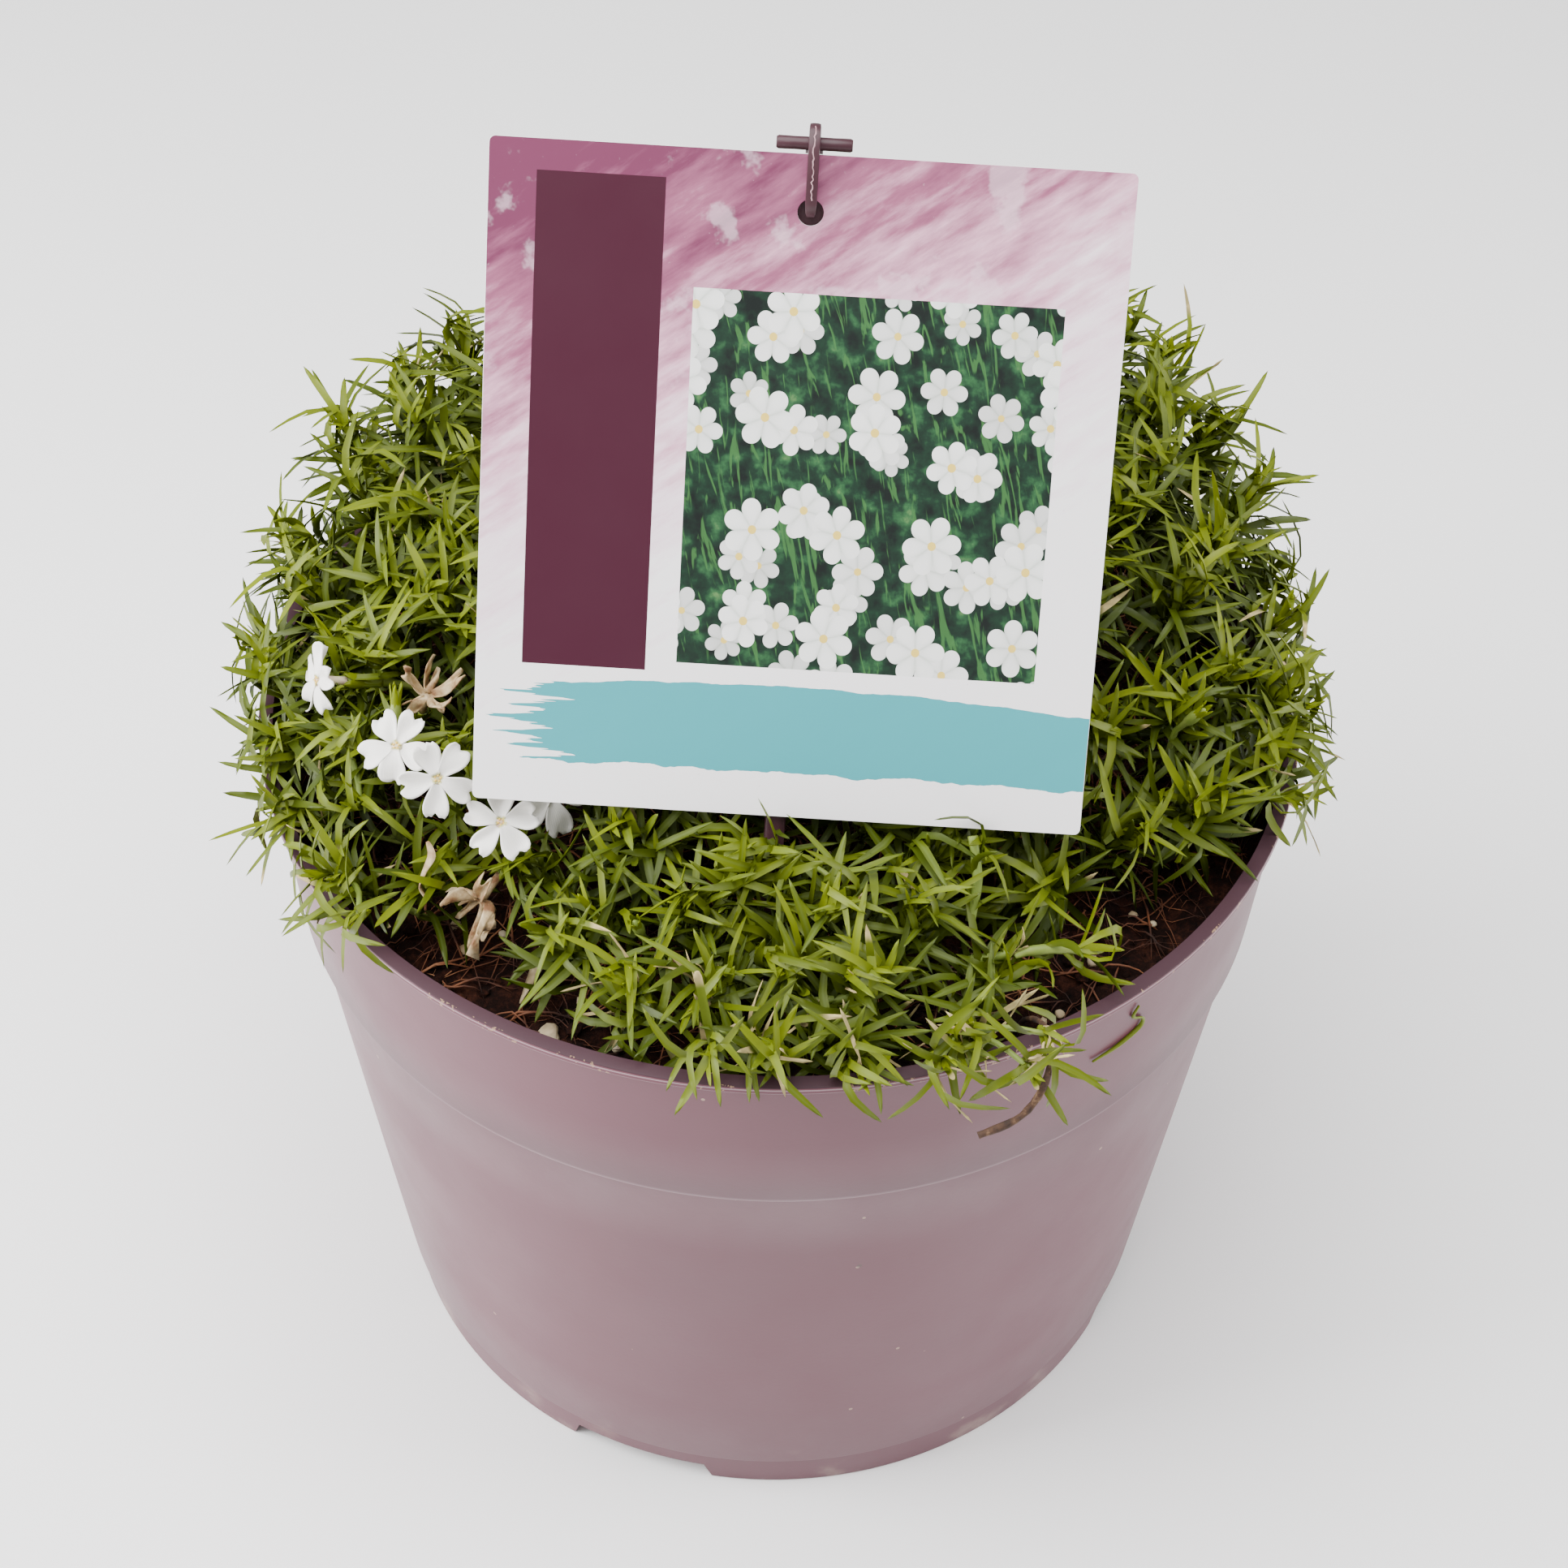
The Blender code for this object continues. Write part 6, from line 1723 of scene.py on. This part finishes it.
def add_bud(bm, pattern, foot, way, length):
    """A closed flower bud: a green spindle with five pointed teeth on a thin stalk."""
    foot, way = Vector(foot) * MM, Vector(way).normalized()
    length = length * MM
    side = way.orthogonal().normalized()
    stalk_foot = foot - (way * 0.5 + Vector((0.0, 0.0, 0.9))).normalized() * BUD_STALK
    line = [stalk_foot, foot - way * 2.5 * MM]
    line += [foot + way * (length * share) for share in (0.0, 0.2, 0.5, 0.8, 1.0)]
    sizes = [size * MM for size in (0.55, 0.55, 0.6, 0.95, 1.05, 0.8, 0.3)]
    add_rod(bm, line, sizes, sizes, 10, side, 1)
    for index in range(PETAL_COUNT):
        out = Matrix.Rotation(math.tau * index / PETAL_COUNT, 3, way) @ side
        root = foot + way * (length * 0.15) + out * 0.75 * MM
        tip = foot + way * (length * 1.2) + out * 1.15 * MM
        lay_pattern(bm, pattern, root, tip, -out, 0.55 * MM, (0.12, 0.6, 0.0))


class PHLOX_OT_litter(Operator):
    """Lay the dead stem over the rim, the dry leaves, the scrap on the wall, the buds and the large grains"""
    bl_idname = "phlox.litter"
    bl_label = "Dead stem, buds and litter"

    def execute(self, context):
        look = context.scene.phlox_foliage
        self.lay_twig()
        dry_leaf = ribbon(DRY_LEAF_LINE, (0.5, 1.3, 1.6, 1.2, 0.4), 0.16, 1.3)
        finish_piece("dry_leaf", dry_leaf, [mottled("dry blade")])
        dry_strip = ribbon(DRY_STRIP_LINE, (0.3, 0.9, 0.7, 1.0, 0.3), 0.14, 2.4)
        finish_piece("dry_strip", dry_strip, [mottled("withered petal")])
        scrap = ribbon(wall_scrap(), (0.22, 0.34, 0.36, 0.46, 0.44, 0.2), 0.22, 0.4)
        layer = scrap.verts.layers.float_color.new("tone")
        for vert in scrap.verts:
            vert[layer] = (0.20, 0.9, 0.0, 0.3)
        finish_piece("leaf_scrap", scrap, [leaf_green(look)])
        self.set_buds(look)
        self.drop_pearls()
        return {"FINISHED"}

    def lay_twig(self):
        draw = random.Random(9)
        line = spline([Vector(p) * MM for p in TWIG_LINE], 6)
        sizes = [TWIG_RADIUS * (0.62 + 0.40 * i / (len(line) - 1)) * draw.uniform(0.78, 1.14)
                 for i in range(len(line))]
        bm = bmesh.new()
        add_rod(bm, line, sizes, sizes, 9, UP)
        outward(bm)
        finish_piece("dead_stem", bm, [mottled("dead stem")], ("dead_twig",))

    def set_buds(self, look):
        bm = toned_mesh()
        pattern = LeafPattern(0.3, 0.0)
        for foot, way, length in BUDS:
            add_bud(bm, pattern, foot, way, length)
        bpy.data.meshes.remove(pattern.mesh)
        outward(bm)
        finish_piece("flower_buds", bm, [leaf_green(look), shoot_bark()])

    def drop_pearls(self):
        grains = bmesh.new()
        for x, y, size in PEARLS:
            lump = bmesh.ops.create_icosphere(grains, subdivisions=2, radius=size * MM)["verts"]
            for vert in lump:
                vert.co *= 1.0 + 0.55 * noise.noise(vert.co * 700.0)
                vert.co.z *= 0.7
            bmesh.ops.translate(grains, vec=(x * MM, y * MM, soil_height(x * MM, y * MM) + size * 0.35 * MM),
                                verts=lump)
        outward(grains)
        finish_piece("large_grains", grains, [mottled("light grain")])


# Stage

# Area lights: place, width and height, and share of the key light's power
LIGHTS = {
    "overhead": ((-0.15, -0.10, 0.95), (0.9, 0.9), 1.0),
    "left_side": ((-0.90, -0.15, 0.40), (0.6, 0.8), 1.20),
    "right_side": ((0.95, -0.05, 0.40), (0.5, 0.8), 0.62),
}
LIGHT_TARGET = Vector((0.0, 0.0, 0.13))


class PHLOX_OT_stage(Operator):
    """Set the camera, the pale floor and the soft studio light"""
    bl_idname = "phlox.stage"
    bl_label = "Stage"

    def execute(self, context):
        look = context.scene.phlox_stage
        self.set_camera(look)
        self.lay_floor(look)
        world = bpy.data.worlds.new("pale room")
        bpy.context.scene.world = world
        world.use_nodes = True
        background = world.node_tree.nodes["Background"]
        background.inputs["Color"].default_value = (1.0, 1.0, 1.0, 1.0)
        background.inputs["Strength"].default_value = look.fill
        for name, (place, size, share) in LIGHTS.items():
            data = bpy.data.lights.new(name, "AREA")
            data.shape = "RECTANGLE"
            data.size, data.size_y = size
            data.energy = look.key_power * share
            light = add_object(name, data)
            light.location = place
            light.rotation_euler = (LIGHT_TARGET - Vector(place)).to_track_quat("-Z", "Y").to_euler()
        return {"FINISHED"}

    def set_camera(self, look):
        data = bpy.data.cameras.new("photo camera")
        data.sensor_width = 36.0
        data.lens = look.focal_pixels / PHOTO_SIZE * data.sensor_width
        camera = add_object("photo camera", data)
        yaw, pitch, roll = look.yaw, look.pitch, look.roll
        ahead = Vector((math.sin(yaw) * math.cos(pitch), math.cos(yaw) * math.cos(pitch), -math.sin(pitch)))
        right = Vector((math.cos(yaw), -math.sin(yaw), 0.0))
        up = right.cross(ahead)
        turned_right = right * math.cos(roll) + up * math.sin(roll)
        turned_up = up * math.cos(roll) - right * math.sin(roll)
        turn = Matrix((turned_right, turned_up, -ahead)).transposed().to_4x4()
        camera.matrix_world = Matrix.Translation(look.camera_place) @ turn
        bpy.context.scene.camera = camera

    def lay_floor(self, look):
        bm = bmesh.new()
        bmesh.ops.create_grid(bm, x_segments=4, y_segments=4, size=3.0)
        mesh = mesh_from(bm, "floor")
        paint = Paint("pale floor", look.floor_colour, 0.7)
        tone = paint.noise(paint.place(), 2.0, 2.0)
        colour = paint.mix(tone, scaled(look.floor_colour, 0.99), look.floor_colour)
        mesh.materials.append(paint.finish(colour))
        add_object("floor", mesh)


class PHLOX_PT_steps(Panel):
    """The steps that dress the potted phlox"""
    bl_idname = "PHLOX_PT_steps"
    bl_label = "Potted phlox"
    bl_space_type = "VIEW_3D"
    bl_region_type = "UI"
    bl_category = "Phlox"

    def draw(self, context):
        for step in STEPS:
            self.layout.operator(step.bl_idname)


STEPS = (PHLOX_OT_pot, PHLOX_OT_soil, PHLOX_OT_label, PHLOX_OT_stake, PHLOX_OT_foliage, PHLOX_OT_flowers,
         PHLOX_OT_litter, PHLOX_OT_stage)
LOOKS = {"phlox_pot": PotLook, "phlox_soil": SoilLook, "phlox_foliage": FoliageLook, "phlox_label": LabelLook,
         "phlox_stage": StageLook}
CLASSES = (*LOOKS.values(), *STEPS, PHLOX_PT_steps)


def register():
    for kind in CLASSES:
        bpy.utils.register_class(kind)
    for name, look in LOOKS.items():
        setattr(bpy.types.Scene, name, PointerProperty(type=look))


def unregister():
    for name in LOOKS:
        delattr(bpy.types.Scene, name)
    for kind in reversed(CLASSES):
        bpy.utils.unregister_class(kind)


def main():
    register()
    bpy.ops.phlox.pot()
    bpy.ops.phlox.soil()
    bpy.ops.phlox.label()
    bpy.ops.phlox.stake()
    bpy.ops.phlox.foliage()
    bpy.ops.phlox.flowers()
    bpy.ops.phlox.litter()
    bpy.ops.phlox.stage()


if __name__ == "__main__":
    main()
